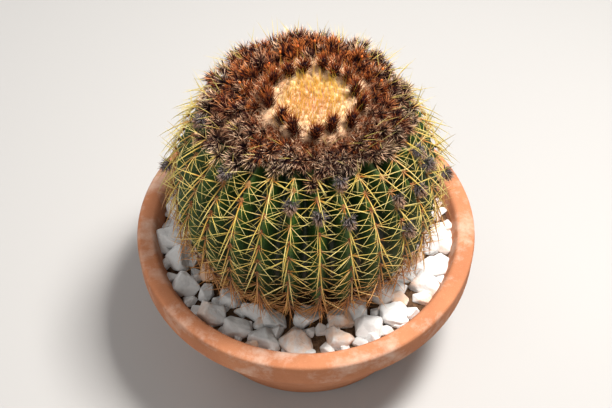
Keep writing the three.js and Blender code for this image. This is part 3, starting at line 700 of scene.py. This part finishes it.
def thatch(name, material, count, bristles, ring, seed):
    """Remains of dried flowers packed in a ring: each is a shaggy tassel of bristly scales round its stub."""
    r = StemRecipe(name)
    inner, start, end, short, long, wide, low_stub, high_stub, stub_radius = r.sizes(
        Inner_reach=THATCH_START, Ring_start=ring[0], Ring_end=ring[1], Shortest=8 * MM, Longest=14 * MM,
        Scale_width=0.58 * MM, Front_stub=9 * MM, Back_stub=18 * MM, Stub_radius=1.5 * MM)
    crowding, ragged, back_gap = r.sizes(Crowding=0.32, Ragged_edge=5 * MM, Gap_in_back=4 * MM)
    upright_until, by_buds_until = (0.05, 0.45), (-0.1, 0.45)
    draw = r.size("Seed", seed, "Int")
    flower, number = r.groups(r.index(), bristles)

    turned = (flower * GOLDEN_ANGLE + r.sway(0.06, draw, flower)) % TURN
    azimuth = turned + turned.sin() * crowding
    back = r.in_back(azimuth)
    edge = r.thatch_edge(azimuth)
    low, high = inner + (edge - inner) * start, inner + (edge - inner) * end
    s = r.evenly((flower + 0.5) / count, low, high) + r.random(-5 * MM, 6 * MM, draw + 11, flower)
    share = (s - inner) / (edge - inner)
    upright = (1 - r.smooth(share, *upright_until)) * back
    by_buds = (1 - r.smooth(share, *by_buds_until)) * (1 - back)
    ripple = (azimuth * 5 + 1).sin() + (azimuth * 8).sin()
    s = s + ripple * ragged * (share * share) + back_gap * upright
    place, out, down, side = r.crown(s, azimuth, 1 * MM)

    thinning = (1 - share.clamped() * 0.4) * (1 - by_buds * 0.5)
    stub = (low_stub + (high_stub - low_stub) * back) * thinning * r.random(0.4, 1.35, draw + 9, flower)
    lean = share * 0.7 - 0.2 + by_buds * 0.5 + r.sway(0.35, draw + 1, flower)
    axis = r.combine((out, 1.0), (down, lean), (side, r.sway(0.4, draw + 2, flower)))
    rise = ((number + 0.5) / bristles).sqrt()
    splay = (1.5 - rise * rise * 1.2) * (1 - upright * 0.5) + r.sway(0.3, draw + 3)
    turn = number * GOLDEN_ANGLE + r.sway(0.5, draw + 4)
    outward = r.combine((down, turn.cos()), (side, turn.sin()))
    direction = r.combine((axis, splay.cos()), (outward, splay.sin()))
    root = r.combine((place, 1.0), (axis, rise * stub), (outward, stub_radius))
    # The share mark is lowered in the back half, which turns the bristles there towards the darker rust hues.
    # This is partly their own colour and partly painted shade and glow of the backlit back.
    cloud = r.points(count * bristles, root, tone=r.chance(draw + 6),
                     flower_tone=r.chance(draw + 7, flower), share=share - back * 0.28, rise=rise)

    shape = r.blade(3, 2, girth=wide / long, bow=0.32, fullness=1.1)
    size = r.random(short, long, draw + 8) * r.random(0.75, 1.2, draw + 10, flower) * (1 - by_buds * 0.25)
    curl = r.combine((outward, r.random(-0.6, 1.0, draw + 12)), (down, r.random(0.0, 0.8, draw + 13)),
                     (out, r.random(-1.0, 0.3, draw + 14)))
    scales = r.instances(cloud, shape, r.aim(direction, curl), r.vector(size * 0.6, size, size))
    return r.grow(scales, material)


def orange_tips(material):
    """A few small orange beads on thin golden stalks in the back of the thatch."""
    r = StemRecipe("orange_tips")
    size, height, length, spacing = r.sizes(Bead_radius=1.4 * MM, Bead_height=25 * MM, Bead_length=1.35,
                                            Bead_spacing=0.33)
    count = 9
    azimuth = (r.index() - (count - 1) / 2) * spacing + math.pi + r.sway(0.1, seed=31)
    s = THATCH_START + r.random(0.0, 20 * MM, seed=32)
    place, out, down, side = r.crown(s, azimuth, 3 * MM)
    direction = r.combine((out, 1.0), (down, r.sway(0.2, seed=33)), (side, r.sway(0.2, seed=34)))
    aim = r.aim(direction, side)
    tips = r.points(count, r.combine((place, 1.0), (direction, height)), bead=1.0)
    beads = r.instances(tips, r.ball(3), aim, r.vector(size, size, size * length))
    roots = r.points(count, place, bead=0.0)
    stalk = r.blade(5, 3, girth=0.02, bow=0.0, fullness=1.0)
    stalks = r.instances(roots, stalk, aim, r.even(height * 1.15))
    return r.grow(r.join(beads, stalks), material)


def mesh_piece(name, bm, material, smooth=True):
    bmesh.ops.recalc_face_normals(bm, faces=bm.faces)
    mesh = bpy.data.meshes.new(name)
    bm.to_mesh(mesh)
    bm.free()
    mesh.materials.append(material)
    if smooth:
        mesh.shade_smooth()
    return placed_object(name, mesh)


def withered_flowers(material):
    """Single dried flowers hanging from lower areoles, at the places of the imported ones."""
    scales, sections = 110, 3
    flower_length, belly_radius, root_depth = 10 * MM, 3 * MM, 7 * MM
    rand = random.Random(8)
    bm = bmesh.new()
    along_mark = bm.verts.layers.float.new("along")
    rise_mark = bm.verts.layers.float.new("rise")

    def vert(place, along, rise):
        made = bm.verts.new(place)
        made[along_mark] = along
        made[rise_mark] = rise
        return made

    for i in range(DRIED_FLOWERS):
        low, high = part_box(f"dried_flower_{i + 1:02d}")
        middle = (Vector(low) + Vector(high)) / 2
        outward = Vector((middle.x, middle.y, (middle.z - EQUATOR_Z) * 1.1)).normalized()
        nearly_down = Vector((rand.uniform(-0.2, 0.2), rand.uniform(-0.2, 0.2), -1.0))
        hang = (nearly_down + outward * 0.75).normalized()
        root = middle - hang * root_depth - outward * 1 * MM
        across = hang.orthogonal().normalized()
        other = hang.cross(across)
        for k in range(scales):
            rise = (k + 0.5) / scales
            turn = k * GOLDEN_ANGLE + rand.uniform(-0.3, 0.3)
            splay = 1.75 - rise * 1.35 + rand.uniform(-0.25, 0.25)
            radial = across * math.cos(turn) + other * math.sin(turn)
            along = (hang * math.cos(splay) + radial * math.sin(splay)).normalized()
            tangent = hang.cross(radial).normalized()
            lift_way = along.cross(tangent)
            belly = math.sin(math.pi * (0.2 + rise * 0.7)) * belly_radius
            base = root + hang * rise * flower_length + radial * belly
            length = rand.uniform(5.5, 9.5) * MM
            half = rand.uniform(0.45, 0.85) * MM
            curl = rand.uniform(-0.3, 0.5)
            rings = []
            for j in range(sections):
                t = j / sections
                centre = base + along * length * t + lift_way * curl * length * t * t
                width = half * (1 - t) * (1 + 1.8 * t)
                corners = [centre - tangent * width, centre + lift_way * width * 0.4,
                           centre + tangent * width, centre - lift_way * width * 0.4]
                rings.append([vert(corner, t, rise) for corner in corners])
            tip = vert(base + along * length + lift_way * curl * length, 1.0, rise)
            for a, b in zip(rings, rings[1:]):
                for n in range(4):
                    bm.faces.new((a[n], a[(n + 1) % 4], b[(n + 1) % 4], b[n]))
            for n in range(4):
                bm.faces.new((rings[-1][n], rings[-1][(n + 1) % 4], tip))
            bm.faces.new(rings[0][::-1])
    return mesh_piece("withered_flowers", bm, material)


def turned(name, outline, segments, material, ruffle=None):
    """A closed ring or solid turned round +Z from (radius, height) corners."""
    bm = bmesh.new()
    rings = []
    for k in range(segments):
        a = k / segments * TURN
        ring = []
        for r, z in outline:
            place = Vector((r * math.sin(a), -r * math.cos(a), z))
            if ruffle:
                place = ruffle(place)
            ring.append(bm.verts.new(place))
        rings.append(ring)
    for k in range(segments):
        here, there = rings[k], rings[(k + 1) % segments]
        for j in range(len(outline)):
            n = (j + 1) % len(outline)
            bm.faces.new((here[j], there[j], there[n], here[n]))
    bmesh.ops.remove_doubles(bm, verts=bm.verts, dist=0.01 * MM)
    return mesh_piece(name, bm, material)


def rounded(corners, radius, steps=4):
    """An outline with each of its corners rounded off."""
    outline = []
    count = len(corners)
    for i, corner in enumerate(corners):
        here = Vector(corner)
        before = Vector(corners[i - 1]) - here
        after = Vector(corners[(i + 1) % count]) - here
        cut = min(radius, before.length * 0.45, after.length * 0.45)
        start, end = here + before.normalized() * cut, here + after.normalized() * cut
        for k in range(steps + 1):
            t = k / steps
            outline.append(start * (1 - t) ** 2 + here * 2 * t * (1 - t) + end * t ** 2)
    return [(p.x, p.y) for p in outline]


def split_long(outline, longest):
    """Extra points along an outline's long straight runs."""
    out = []
    for i, a in enumerate(outline):
        b = outline[(i + 1) % len(outline)]
        pieces = max(1, math.ceil(math.dist(a, b) / longest))
        out += [(lerp(a[0], b[0], k / pieces), lerp(a[1], b[1], k / pieces)) for k in range(pieces)]
    return out


def clay_pot(material):
    band = POT_HEIGHT - RIM_BAND_HEIGHT
    corners = [
        (DRAIN_RADIUS, 0), (FOOT_RADIUS, 0), (RIM_RADIUS - BAND_STEP, band), (RIM_RADIUS, band + 1 * MM),
        (RIM_RADIUS, POT_HEIGHT), (RIM_RADIUS - RIM_THICKNESS, POT_HEIGHT), (FOOT_RADIUS - WALL, POT_FLOOR),
        (DRAIN_RADIUS, POT_FLOOR),
    ]
    return turned("clay_pot", split_long(rounded(corners, 5 * MM), 9 * MM), 160, material)


def pot_inside(z):
    """Radius of the pot's inner wall at a height."""
    f = (z - POT_FLOOR) / (POT_HEIGHT - RIM_ROUNDING - POT_FLOOR)
    return lerp(FOOT_RADIUS - WALL, RIM_RADIUS - RIM_THICKNESS, f)


def potting_soil(material):
    """Soil with a plain hole for the taproot and a dip round the neck, crumbly where it is near the top."""
    root_gap, neck_gap, wall_gap, floor_gap = 1.5 * MM, 3 * MM, 0.6 * MM, 0.3 * MM
    core, dip_width, dip_depth = 1 * MM, 30 * MM, 12 * MM
    bottom = POT_FLOOR + floor_gap
    corners = [
        (TAPROOT_RADIUS + root_gap, TAPROOT_BOTTOM - 2 * MM), (core, TAPROOT_BOTTOM - 4 * MM), (core, bottom),
        (pot_inside(bottom) - wall_gap, bottom), (pot_inside(STONE_BED_TOP) - wall_gap, STONE_BED_TOP),
        (NECK_RADIUS + dip_width, SOIL_TOP + 3 * MM), (NECK_RADIUS + neck_gap, SOIL_TOP - dip_depth),
    ]

    def crumble(place):
        if place.z < SOIL_TOP - 2 * MM:
            return place
        clods = noise.noise(place * 90) * 2.2 * MM
        crumbs = noise.noise(place * 300) * 1.0 * MM
        return place + Vector((0, 0, clods + crumbs))

    return turned("potting_soil", split_long(corners, 6 * MM), 150, material, crumble)


def crushed_stone_shape(seed, splits):
    """One angular stone about 1 across: a hull of a few corners with its edges knocked off.

    Its long edges are split, once for each length in splits, and its faces are made a little uneven.
    """
    corners, depth, flat_angle, edge_width = 12, 0.95, math.radians(14), 0.04
    unevenness = [(3.0, 0.05), (9.0, 0.014)]
    rand = random.Random(seed)
    bm = bmesh.new()
    length, thickness = rand.uniform(1.05, 1.25), rand.uniform(0.68, 0.85)
    for i in range(corners):
        up = 1 - 2 * (i + 0.5) / corners
        turn = i * GOLDEN_ANGLE + rand.uniform(-0.6, 0.6)
        flat = math.sqrt(1 - up * up)
        reach = rand.uniform(0.8, 1.1) * 0.5
        bm.verts.new((flat * math.cos(turn) * reach * length, flat * math.sin(turn) * reach * depth,
                      up * reach * thickness))
    bmesh.ops.convex_hull(bm, input=bm.verts)
    inside = [v for v in bm.verts if not v.link_faces]
    bmesh.ops.delete(bm, geom=inside, context="VERTS")
    bmesh.ops.dissolve_limit(bm, angle_limit=flat_angle, verts=bm.verts, edges=bm.edges)
    bmesh.ops.bevel(bm, geom=list(bm.edges), offset=edge_width, segments=2, affect="EDGES", profile=0.5)
    bmesh.ops.triangulate(bm, faces=bm.faces)
    for longest in splits:
        bmesh.ops.subdivide_edges(bm, edges=[e for e in bm.edges if e.calc_length() > longest], cuts=1)
        bmesh.ops.triangulate(bm, faces=bm.faces)
    shift = Vector((seed * 3.1, seed * 1.7, 0))
    for v in bm.verts:
        rough = sum(noise.noise(v.co * fineness + shift) * height for fineness, height in unevenness)
        v.co += v.co.normalized() * rough
    bmesh.ops.recalc_face_normals(bm, faces=bm.faces)
    mesh = bpy.data.meshes.new(f"stone_shape_{seed}")
    bm.to_mesh(mesh)
    bm.free()
    return bpy.data.objects.new(mesh.name, mesh)


def stone_shapes(name, splits):
    shapes = bpy.data.collections.new(name)
    for seed in range(STONE_SHAPES):
        shapes.objects.link(crushed_stone_shape(seed, splits))
    return shapes


def stone_rows(name, material, shapes, rows, seed):
    """Stones in rings: each row gives its count, radius, height, smallest and largest size, and wander."""
    r = Recipe(name)
    family = r.size("Stone shapes", shapes, "Collection")
    shape = r.field("GeometryNodeCollectionInfo", 0, {"Collection": family, "Separate Children": True})
    first_draw = r.size("Seed", seed, "Int")
    draws_per_row = 10
    placed = []
    for n, (count, radius, height, small, large, wander) in enumerate(rows):
        ring, level, low, high = r.sizes(**{
            f"Row_{n}_radius": radius, f"Row_{n}_height": height, f"Row_{n}_smallest": small,
            f"Row_{n}_largest": large})
        draw = first_draw + draws_per_row * n
        azimuth = (r.index() + r.sway(0.25, draw)) * (TURN / count)
        out = ring + r.sway(wander, draw + 1)
        place = r.vector(out * azimuth.sin(), out * azimuth.cos() * -1, level + r.sway(2 * MM, draw + 2))
        cloud = r.points(count, place, tone=r.chance(draw + 4))
        spin = r.vector(r.sway(0.5, draw + 5), r.sway(0.5, draw + 6), r.random(0.0, TURN, draw + 7))
        rotation = r.field("FunctionNodeEulerToRotation", 0, {0: spin})
        picked = r.random(0.0, STONE_SHAPES - 0.01, draw + 8).floor()
        size = r.even(r.random(low, high, draw + 3))
        placed.append(r.instances(cloud, shape, rotation, size,
                                  **{"Pick Instance": True, "Instance Index": picked}))
    piece = r.grow(r.join(*placed), material, smooth=False)
    for stone in list(shapes.objects):
        bpy.data.objects.remove(stone)
    bpy.data.collections.remove(shapes)
    return piece


class Finish:
    """A node material on Object coordinates. A name given as a value is read as an attribute of the piece."""

    def __init__(self, name, roughness=0.6, **shader):
        self.material = bpy.data.materials.new(name)
        self.material.use_nodes = True
        self.nodes = self.material.node_tree.nodes
        self.links = self.material.node_tree.links
        self.shader = self.nodes["Principled BSDF"]
        self.shader.inputs["Roughness"].default_value = roughness
        for key, value in shader.items():
            self.shader.inputs[key.replace("_", " ")].default_value = value
        self.place = self.nodes.new("ShaderNodeTexCoord").outputs["Object"]

    def feed(self, socket, value):
        if isinstance(value, str):
            value = self.node("ShaderNodeAttribute", {}, "Fac", attribute_name=value)
        if isinstance(value, bpy.types.NodeSocket):
            self.links.new(value, socket)
        elif isinstance(value, tuple) and len(value) == 3 and socket.type == "RGBA":
            socket.default_value = (*value, 1)
        else:
            socket.default_value = value

    def node(self, kind, inputs, output=0, **settings):
        made = self.nodes.new(kind)
        for key, value in settings.items():
            setattr(made, key, value)
        for key, value in inputs.items():
            self.feed(made.inputs[key], value)
        return made.outputs[output]

    def noise(self, scale, detail=4.0, roughness=0.55, stretch=(1, 1, 1)):
        place = self.node("ShaderNodeMapping", {"Vector": self.place, "Scale": stretch})
        return self.node("ShaderNodeTexNoise", {"Vector": place, "Scale": scale, "Detail": detail,
                                                "Roughness": roughness})

    def height(self):
        return self.node("ShaderNodeSeparateXYZ", {0: self.place}, 2)

    def span(self, value, low, high, new_low=0.0, new_high=1.0):
        return self.node("ShaderNodeMapRange", {0: value, 1: low, 2: high, 3: new_low, 4: new_high})

    def plus(self, a, b):
        return self.node("ShaderNodeMath", {0: a, 1: b}, operation="ADD")

    def times(self, a, b):
        return self.node("ShaderNodeMath", {0: a, 1: b}, operation="MULTIPLY")

    def ramp(self, value, *stops):
        made = self.nodes.new("ShaderNodeValToRGB")
        self.feed(made.inputs[0], value)
        elements = made.color_ramp.elements
        while len(elements) < len(stops):
            elements.new(0.5)
        for element, (position, color) in zip(elements, stops):
            element.position = position
            element.color = (*color, 1)
        return made.outputs[0]

    def mix(self, factor, a, b, blend="MIX"):
        return self.node("ShaderNodeMix", {0: factor, 6: a, 7: b}, 2, data_type="RGBA", blend_type=blend)

    def bump(self, height, distance, strength):
        normal = self.node("ShaderNodeBump", {"Height": height, "Distance": distance, "Strength": strength},
                           "Normal")
        self.feed(self.shader.inputs["Normal"], normal)

    def colored(self, color):
        """Ends the material with its colour."""
        self.feed(self.shader.inputs["Base Color"], color)
        return self.material


def cactus_skin():
    f = Finish("cactus_skin", roughness=0.45, Specular_IOR_Level=0.35)
    # The green runs from a lighter green on the crests and upper flanks, which is painted light, to near
    # black deep in the furrows, which is painted shade.
    green = f.ramp("furrow", (0.0, (0.070, 0.100, 0.020)), (0.2, (0.042, 0.090, 0.016)),
                   (0.6, (0.022, 0.056, 0.011)), (1.0, (0.006, 0.013, 0.005)))
    patchy = f.mix(f.span(f.noise(26, 5), 0.35, 0.7), green, (0.13, 0.22, 0.05), "SOFT_LIGHT")
    streak = f.span(f.noise(700, 2, 0.5, (1, 1, 0.12)), 0.55, 0.75, 0.0, 0.3)
    streaked = f.mix(streak, patchy, (0.085, 0.16, 0.035))
    cork = f.times(f.span(f.height(), *CORK_GROWS), f.span(f.noise(60, 6, 0.7), 0.45, 0.62))
    f.bump(f.noise(900, 4), 0.6 * MM, 0.35)
    return f.colored(f.mix(cork, streaked, (0.13, 0.09, 0.05)))


def golden_spine():
    f = Finish("golden_spine", roughness=0.42)
    fresh = f.ramp("along", (0.0, (0.22, 0.045, 0.006)), (0.13, (0.46, 0.16, 0.012)),
                   (0.30, (0.56, 0.385, 0.062)), (0.8, (0.56, 0.455, 0.125)), (1.0, (0.30, 0.12, 0.035)))
    pale = f.mix(f.span("tone", 0.5, 1.0, 0.0, 0.5), fresh, (0.66, 0.60, 0.28))
    olive = f.mix(f.span("tone", 0.5, 0.0, 0.0, 0.5), pale, (0.34, 0.32, 0.08))
    aged = f.ramp("along", (0.0, (0.14, 0.04, 0.012)), (0.3, (0.42, 0.155, 0.035)), (1.0, (0.62, 0.30, 0.10)))
    age_height = f.plus(f.height(), f.span("tone", 0, 1, -24 * MM, 24 * MM))
    return f.colored(f.mix(f.span(age_height, *SPINES_AGE), olive, aged))


def areole_felt():
    f = Finish("areole_felt", roughness=0.95)
    fresh = f.ramp(f.noise(500, 4), (0.3, (0.12, 0.035, 0.010)), (0.7, (0.26, 0.09, 0.025)))
    aged = f.mix(f.span(f.height(), *PADS_AGE), fresh, (0.07, 0.04, 0.028))
    f.bump(f.noise(1800, 3), 0.8 * MM, 0.8)
    return f.colored(f.mix(f.times("young", 0.6), aged, (0.36, 0.19, 0.06)))


def crown_wool():
    f = Finish("crown_wool", roughness=0.95, Specular_IOR_Level=0.1)
    # The fluff's last stop darkens where the cushions run under the thatch edge: painted shade.
    fluff = f.ramp("share", (0.0, (0.86, 0.57, 0.44)), (0.25, (0.86, 0.58, 0.38)), (0.40, (0.86, 0.62, 0.33)),
                   (0.52, (0.82, 0.60, 0.37)), (0.72, (0.62, 0.38, 0.24)))
    # The mat is the felt between the cushions. It is painted darker than their fluff as shade in the gaps
    # between them, and near black under the thatch as painted shade.
    mat = f.ramp("share", (0.0, (0.62, 0.34, 0.21)), (0.5, (0.40, 0.18, 0.085)), (0.72, (0.16, 0.055, 0.028)),
                 (0.84, (0.05, 0.02, 0.012)))
    wool = f.mix("lump", mat, fluff)
    mixed = f.mix(f.span(f.noise(240, 4), 0.5, 0.7), wool, (0.56, 0.29, 0.16))
    f.bump(f.noise(1500, 4), 1.2 * MM, 0.8)
    return f.colored(f.mix(f.span("tone", 0, 1, 0, 0.35), mixed, (0.92, 0.76, 0.52)))


def wool_hair():
    f = Finish("wool_hair", roughness=0.9, Specular_IOR_Level=0.1)
    # The last stops darken the hairs that reach in under the thatch: painted shade.
    wool = f.ramp("share", (0.0, (0.88, 0.66, 0.42)), (0.68, (0.82, 0.60, 0.40)), (0.82, (0.62, 0.38, 0.23)),
                  (0.95, (0.36, 0.18, 0.10)))
    tan = f.mix(f.span("tone", 0.42, 0.46), wool, (0.46, 0.18, 0.075))
    strand = f.mix(f.span("tone", 0.64, 0.68), tan, (0.15, 0.028, 0.010))
    # Each hair darkens towards its root: painted shade among the hairs.
    return f.colored(f.mix(f.span("along", 0.0, 0.35, 0.7, 0.0), strand, (0.14, 0.035, 0.018)))


def young_spine():
    f = Finish("young_spine", roughness=0.4)
    fresh = f.ramp("along", (0.0, (0.68, 0.26, 0.02)), (0.35, (0.84, 0.47, 0.025)), (1.0, (0.88, 0.64, 0.09)))
    return f.colored(f.mix(f.span("tone", 0, 1, 0, 0.5), fresh, (0.92, 0.68, 0.17)))


def bud_scale():
    f = Finish("bud_scale", roughness=0.8, Specular_IOR_Level=0.1)
    rise = f.times("along", f.span("rise", 0, 1, 0.62, 1.0))
    shade = f.ramp(rise, (0.0, (0.012, 0.003, 0.005)), (0.36, (0.030, 0.006, 0.007)),
                   (0.56, (0.20, 0.036, 0.010)), (1.0, (0.64, 0.24, 0.06)))
    return f.colored(f.mix(f.span("tone", 0.6, 1, 0, 0.45), shade, (0.38, 0.10, 0.02)))


def thatch_scale():
    f = Finish("thatch_scale", roughness=0.85, Specular_IOR_Level=0.1)
    hue = f.plus(f.span("flower_tone", 0, 1, -0.3, 0.3), f.span("share", 0, 1, 0.18, 0.85))
    body = f.ramp(hue, (0.0, (0.34, 0.066, 0.010)), (0.25, (0.24, 0.045, 0.014)),
                  (0.42, (0.075, 0.020, 0.016)), (0.6, (0.38, 0.165, 0.075)), (0.78, (0.095, 0.056, 0.052)),
                  (1.0, (0.50, 0.32, 0.15)))
    # The bristles darken to near black towards their roots: painted shade inside the tassels.
    shaded = f.mix(f.span("along", 0.2, 0.75), (0.005, 0.0015, 0.002), body)
    # A random share of whole bristles is near black as well: painted shade standing in for the gaps between
    # the tassels.
    painted_gap_shade = f.mix(f.span("tone", 0.36, 0.28), shaded, (0.022, 0.006, 0.008))
    tips = f.mix(f.span(hue, 0.2, 0.6), (0.72, 0.24, 0.06), (0.98, 0.70, 0.47))
    reach = f.times(f.span("along", 0.3, 0.8), f.span("rise", 0.35, 0.8))
    return f.colored(f.mix(f.times(f.span("tone", 0.56, 0.78), reach), painted_gap_shade, tips))


def orange_bead():
    f = Finish("orange_bead", roughness=0.45)
    orange = f.ramp(f.noise(300, 3), (0.35, (0.46, 0.075, 0.008)), (0.65, (0.66, 0.16, 0.012)))
    return f.colored(f.mix("bead", (0.56, 0.26, 0.04), orange))


def withered_petal():
    f = Finish("withered_petal", roughness=0.85)
    cap = f.ramp("along", (0.0, (0.022, 0.017, 0.018)), (0.5, (0.078, 0.060, 0.060)),
                 (1.0, (0.27, 0.22, 0.215)))
    fringe = f.ramp("along", (0.0, (0.05, 0.025, 0.02)), (0.5, (0.22, 0.115, 0.07)),
                    (1.0, (0.58, 0.38, 0.25)))
    hue = f.plus("rise", f.span(f.noise(14, 1), 0.35, 0.65, -0.3, 0.35))
    return f.colored(f.mix(f.span(hue, 0.35, 0.8), cap, fringe))


def fired_clay():
    f = Finish("fired_clay", roughness=0.88, Specular_IOR_Level=0.25)
    clay = f.ramp(f.noise(14, 6, 0.6), (0.3, (0.36, 0.135, 0.062)), (0.55, (0.45, 0.18, 0.086)),
                  (0.75, (0.51, 0.23, 0.12)))
    grains = f.mix(f.span(f.noise(900, 2), 0.62, 0.72, 0.0, 0.35), clay, (0.60, 0.38, 0.24))
    bloom = f.times(f.span(f.noise(22, 7, 0.68), 0.5, 0.7), f.times(f.span(f.height(), *CLAY_BLOOMS), 0.55))
    turning_rings = f.noise(40, 3, 0.5, (0.12, 0.12, 9))
    f.bump(f.plus(f.times(turning_rings, 0.6), f.times(f.noise(700, 3), 0.35)), 0.9 * MM, 0.6)
    return f.colored(f.mix(bloom, grains, (0.66, 0.54, 0.45)))


def soil_crumb():
    f = Finish("soil_crumb", roughness=1.0, Specular_IOR_Level=0.1)
    f.bump(f.noise(500, 5), 1.5 * MM, 0.9)
    return f.colored(f.ramp(f.noise(240, 6, 0.7), (0.3, (0.035, 0.02, 0.012)), (0.55, (0.10, 0.055, 0.03)),
                            (0.75, (0.20, 0.12, 0.07))))


def white_stone():
    f = Finish("white_stone", roughness=0.8, Specular_IOR_Level=0.3)
    chalk = f.ramp(f.noise(60, 6, 0.6), (0.3, (0.56, 0.56, 0.56)), (0.55, (0.70, 0.70, 0.695)),
                   (0.75, (0.76, 0.76, 0.75)))
    stain = f.times(f.span(f.noise(32, 5, 0.62), 0.42, 0.60), f.span("tone", 0.6, 0.9, 0.04, 0.9))
    stained = f.mix(stain, chalk, (0.70, 0.43, 0.27))
    f.bump(f.noise(260, 6, 0.65), 1.2 * MM, 0.7)
    return f.colored(f.mix(f.span(f.noise(18, 4), 0.5, 0.75, 0.0, 0.25), stained, (0.52, 0.50, 0.48)))


def pale_floor():
    return Finish("pale_floor", roughness=0.9).colored((0.42, 0.415, 0.41))


def area_light(name, place, size, watts, color):
    """A soft light that looks at the plant."""
    data = bpy.data.lights.new(name, "AREA")
    data.energy = watts
    data.size = size
    data.color = color
    light = placed_object(name, data)
    light.location = place
    light.rotation_euler = (Vector(place) - Vector((0, 0, LIT_HEIGHT))).to_track_quat("Z", "Y").to_euler()


def studio():
    """Camera where the photograph was taken from, a plain floor and soft lights."""
    camera = placed_object("camera", bpy.data.cameras.new("camera"))
    away = Vector((0, -math.cos(VIEW_ELEVATION), math.sin(VIEW_ELEVATION)))
    camera.location = Vector((0, 0, VIEW_CENTRE_Z)) + away * VIEW_DISTANCE
    camera.rotation_euler = (math.pi / 2 - CAMERA_PITCH, 0, 0)
    camera.data.lens = LENS
    camera.data.sensor_width = SENSOR_WIDTH
    bpy.context.scene.camera = camera
    bpy.context.scene.view_settings.view_transform = "Standard"

    bm = bmesh.new()
    bmesh.ops.create_grid(bm, x_segments=1, y_segments=1, size=FLOOR_SIZE)
    bmesh.ops.translate(bm, verts=bm.verts, vec=(0, 0, -FLOOR_GAP))
    floor = mesh_piece("floor", bm, pale_floor(), smooth=False)

    area_light("key_light", (0.58, 0.15, 1.85), size=0.45, watts=70, color=(1, 0.965, 0.92))
    area_light("fill_light", (-1.2, -1.7, 1.3), size=1.8, watts=18, color=(1, 0.98, 0.95))
    area_light("back_light", (-1.2, 1.2, 1.3), size=1.2, watts=8, color=(1, 1, 1))
    sky = bpy.data.worlds.new("studio_sky")
    sky.use_nodes = True
    sky.node_tree.nodes["Background"].inputs["Color"].default_value = (1, 0.98, 0.96, 1)
    sky.node_tree.nodes["Background"].inputs["Strength"].default_value = 0.3
    bpy.context.scene.world = sky


def numbered(name, count):
    return [f"{name}_{i + 1:02d}" for i in range(count)]


CREST_LINE = crest_line_object()
golden = golden_spine()
wool = crown_wool()
hair = wool_hair()
young = young_spine()
dried = thatch_scale()
stone = white_stone()

stem = ribbed_stem(cactus_skin())
radials = spines("radial_spines", golden, SPINE_KINDS, seed=100)
centrals = spines("central_spines", golden, CENTRAL_KINDS, seed=300)
upright = thatch_spines(golden)
pads = areole_pads(areole_felt())
crown = [
    felt(wool),
    wool_cushions(wool),
    crown_hair("outer_hairs", hair, 3200, reach=(40 * MM, 68 * MM), base=4 * MM, length=(8 * MM, 14 * MM),
               radius=0.6 * MM, tilt=0.9, seed=350, segments=1),
    crown_hair("young_spines", young, 420, reach=(1 * MM, WOOL_RADIUS), base=6 * MM,
               length=(12 * MM, 22 * MM), radius=0.55 * MM, tilt=0.25, seed=400),
    crown_hair("tall_young_spines", young, 90, reach=(32 * MM, 54 * MM), base=6 * MM,
               length=(18 * MM, 27 * MM), radius=0.45 * MM, tilt=0.3, seed=450, sides=5, segments=3),
]
buds = bud_tufts(bud_scale())
remains = [
    thatch("inner_remains", dried, 110, bristles=80, ring=(0.0, 0.4), seed=500),
    thatch("outer_remains", dried, 170, bristles=72, ring=(0.4, 1.0), seed=550),
]
beads = orange_tips(orange_bead())
withered = withered_flowers(withered_petal())
pot = clay_pot(fired_clay())
soil = potting_soil(soil_crumb())
stones = stone_rows("crushed_stones", stone, stone_shapes("large_stones", splits=(0.22, 0.14)), [
    (25, 168 * MM, 155 * MM, 42 * MM, 54 * MM, 4 * MM),
    (25, 136 * MM, 156 * MM, 34 * MM, 44 * MM, 5 * MM),
], seed=600)
chips = stone_rows("stone_chips", stone, stone_shapes("small_stones", splits=()), [
    (54, 180 * MM, 153 * MM, 16 * MM, 26 * MM, 3 * MM),
    (54, 152 * MM, 153 * MM, 16 * MM, 26 * MM, 8 * MM),
], seed=700)
bpy.data.objects.remove(CREST_LINE)

for slot, nodes, pieces in [
    ("cactus_skin", ["cactus_body"], [stem]),
    ("spine", ["cactus_body"], [radials, centrals, upright]),
    ("dried_flower", ["cactus_body"], [pads]),
    ("wool", ["crown_wool"], crown),
    ("bud", numbered("bud_tuft", BUD_COUNT), [buds]),
    ("dried_flower", ["flower_thatch"], [*remains, beads]),
    ("withered_flower", numbered("dried_flower", DRIED_FLOWERS), [withered]),
    ("clay", ["pot"], [pot]),
    ("soil", ["soil"], [soil]),
    ("stone", ["stone_dressing"], [stones, chips]),
]:
    for piece in pieces:
        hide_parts(*nodes)
        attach(piece, "root")

studio()
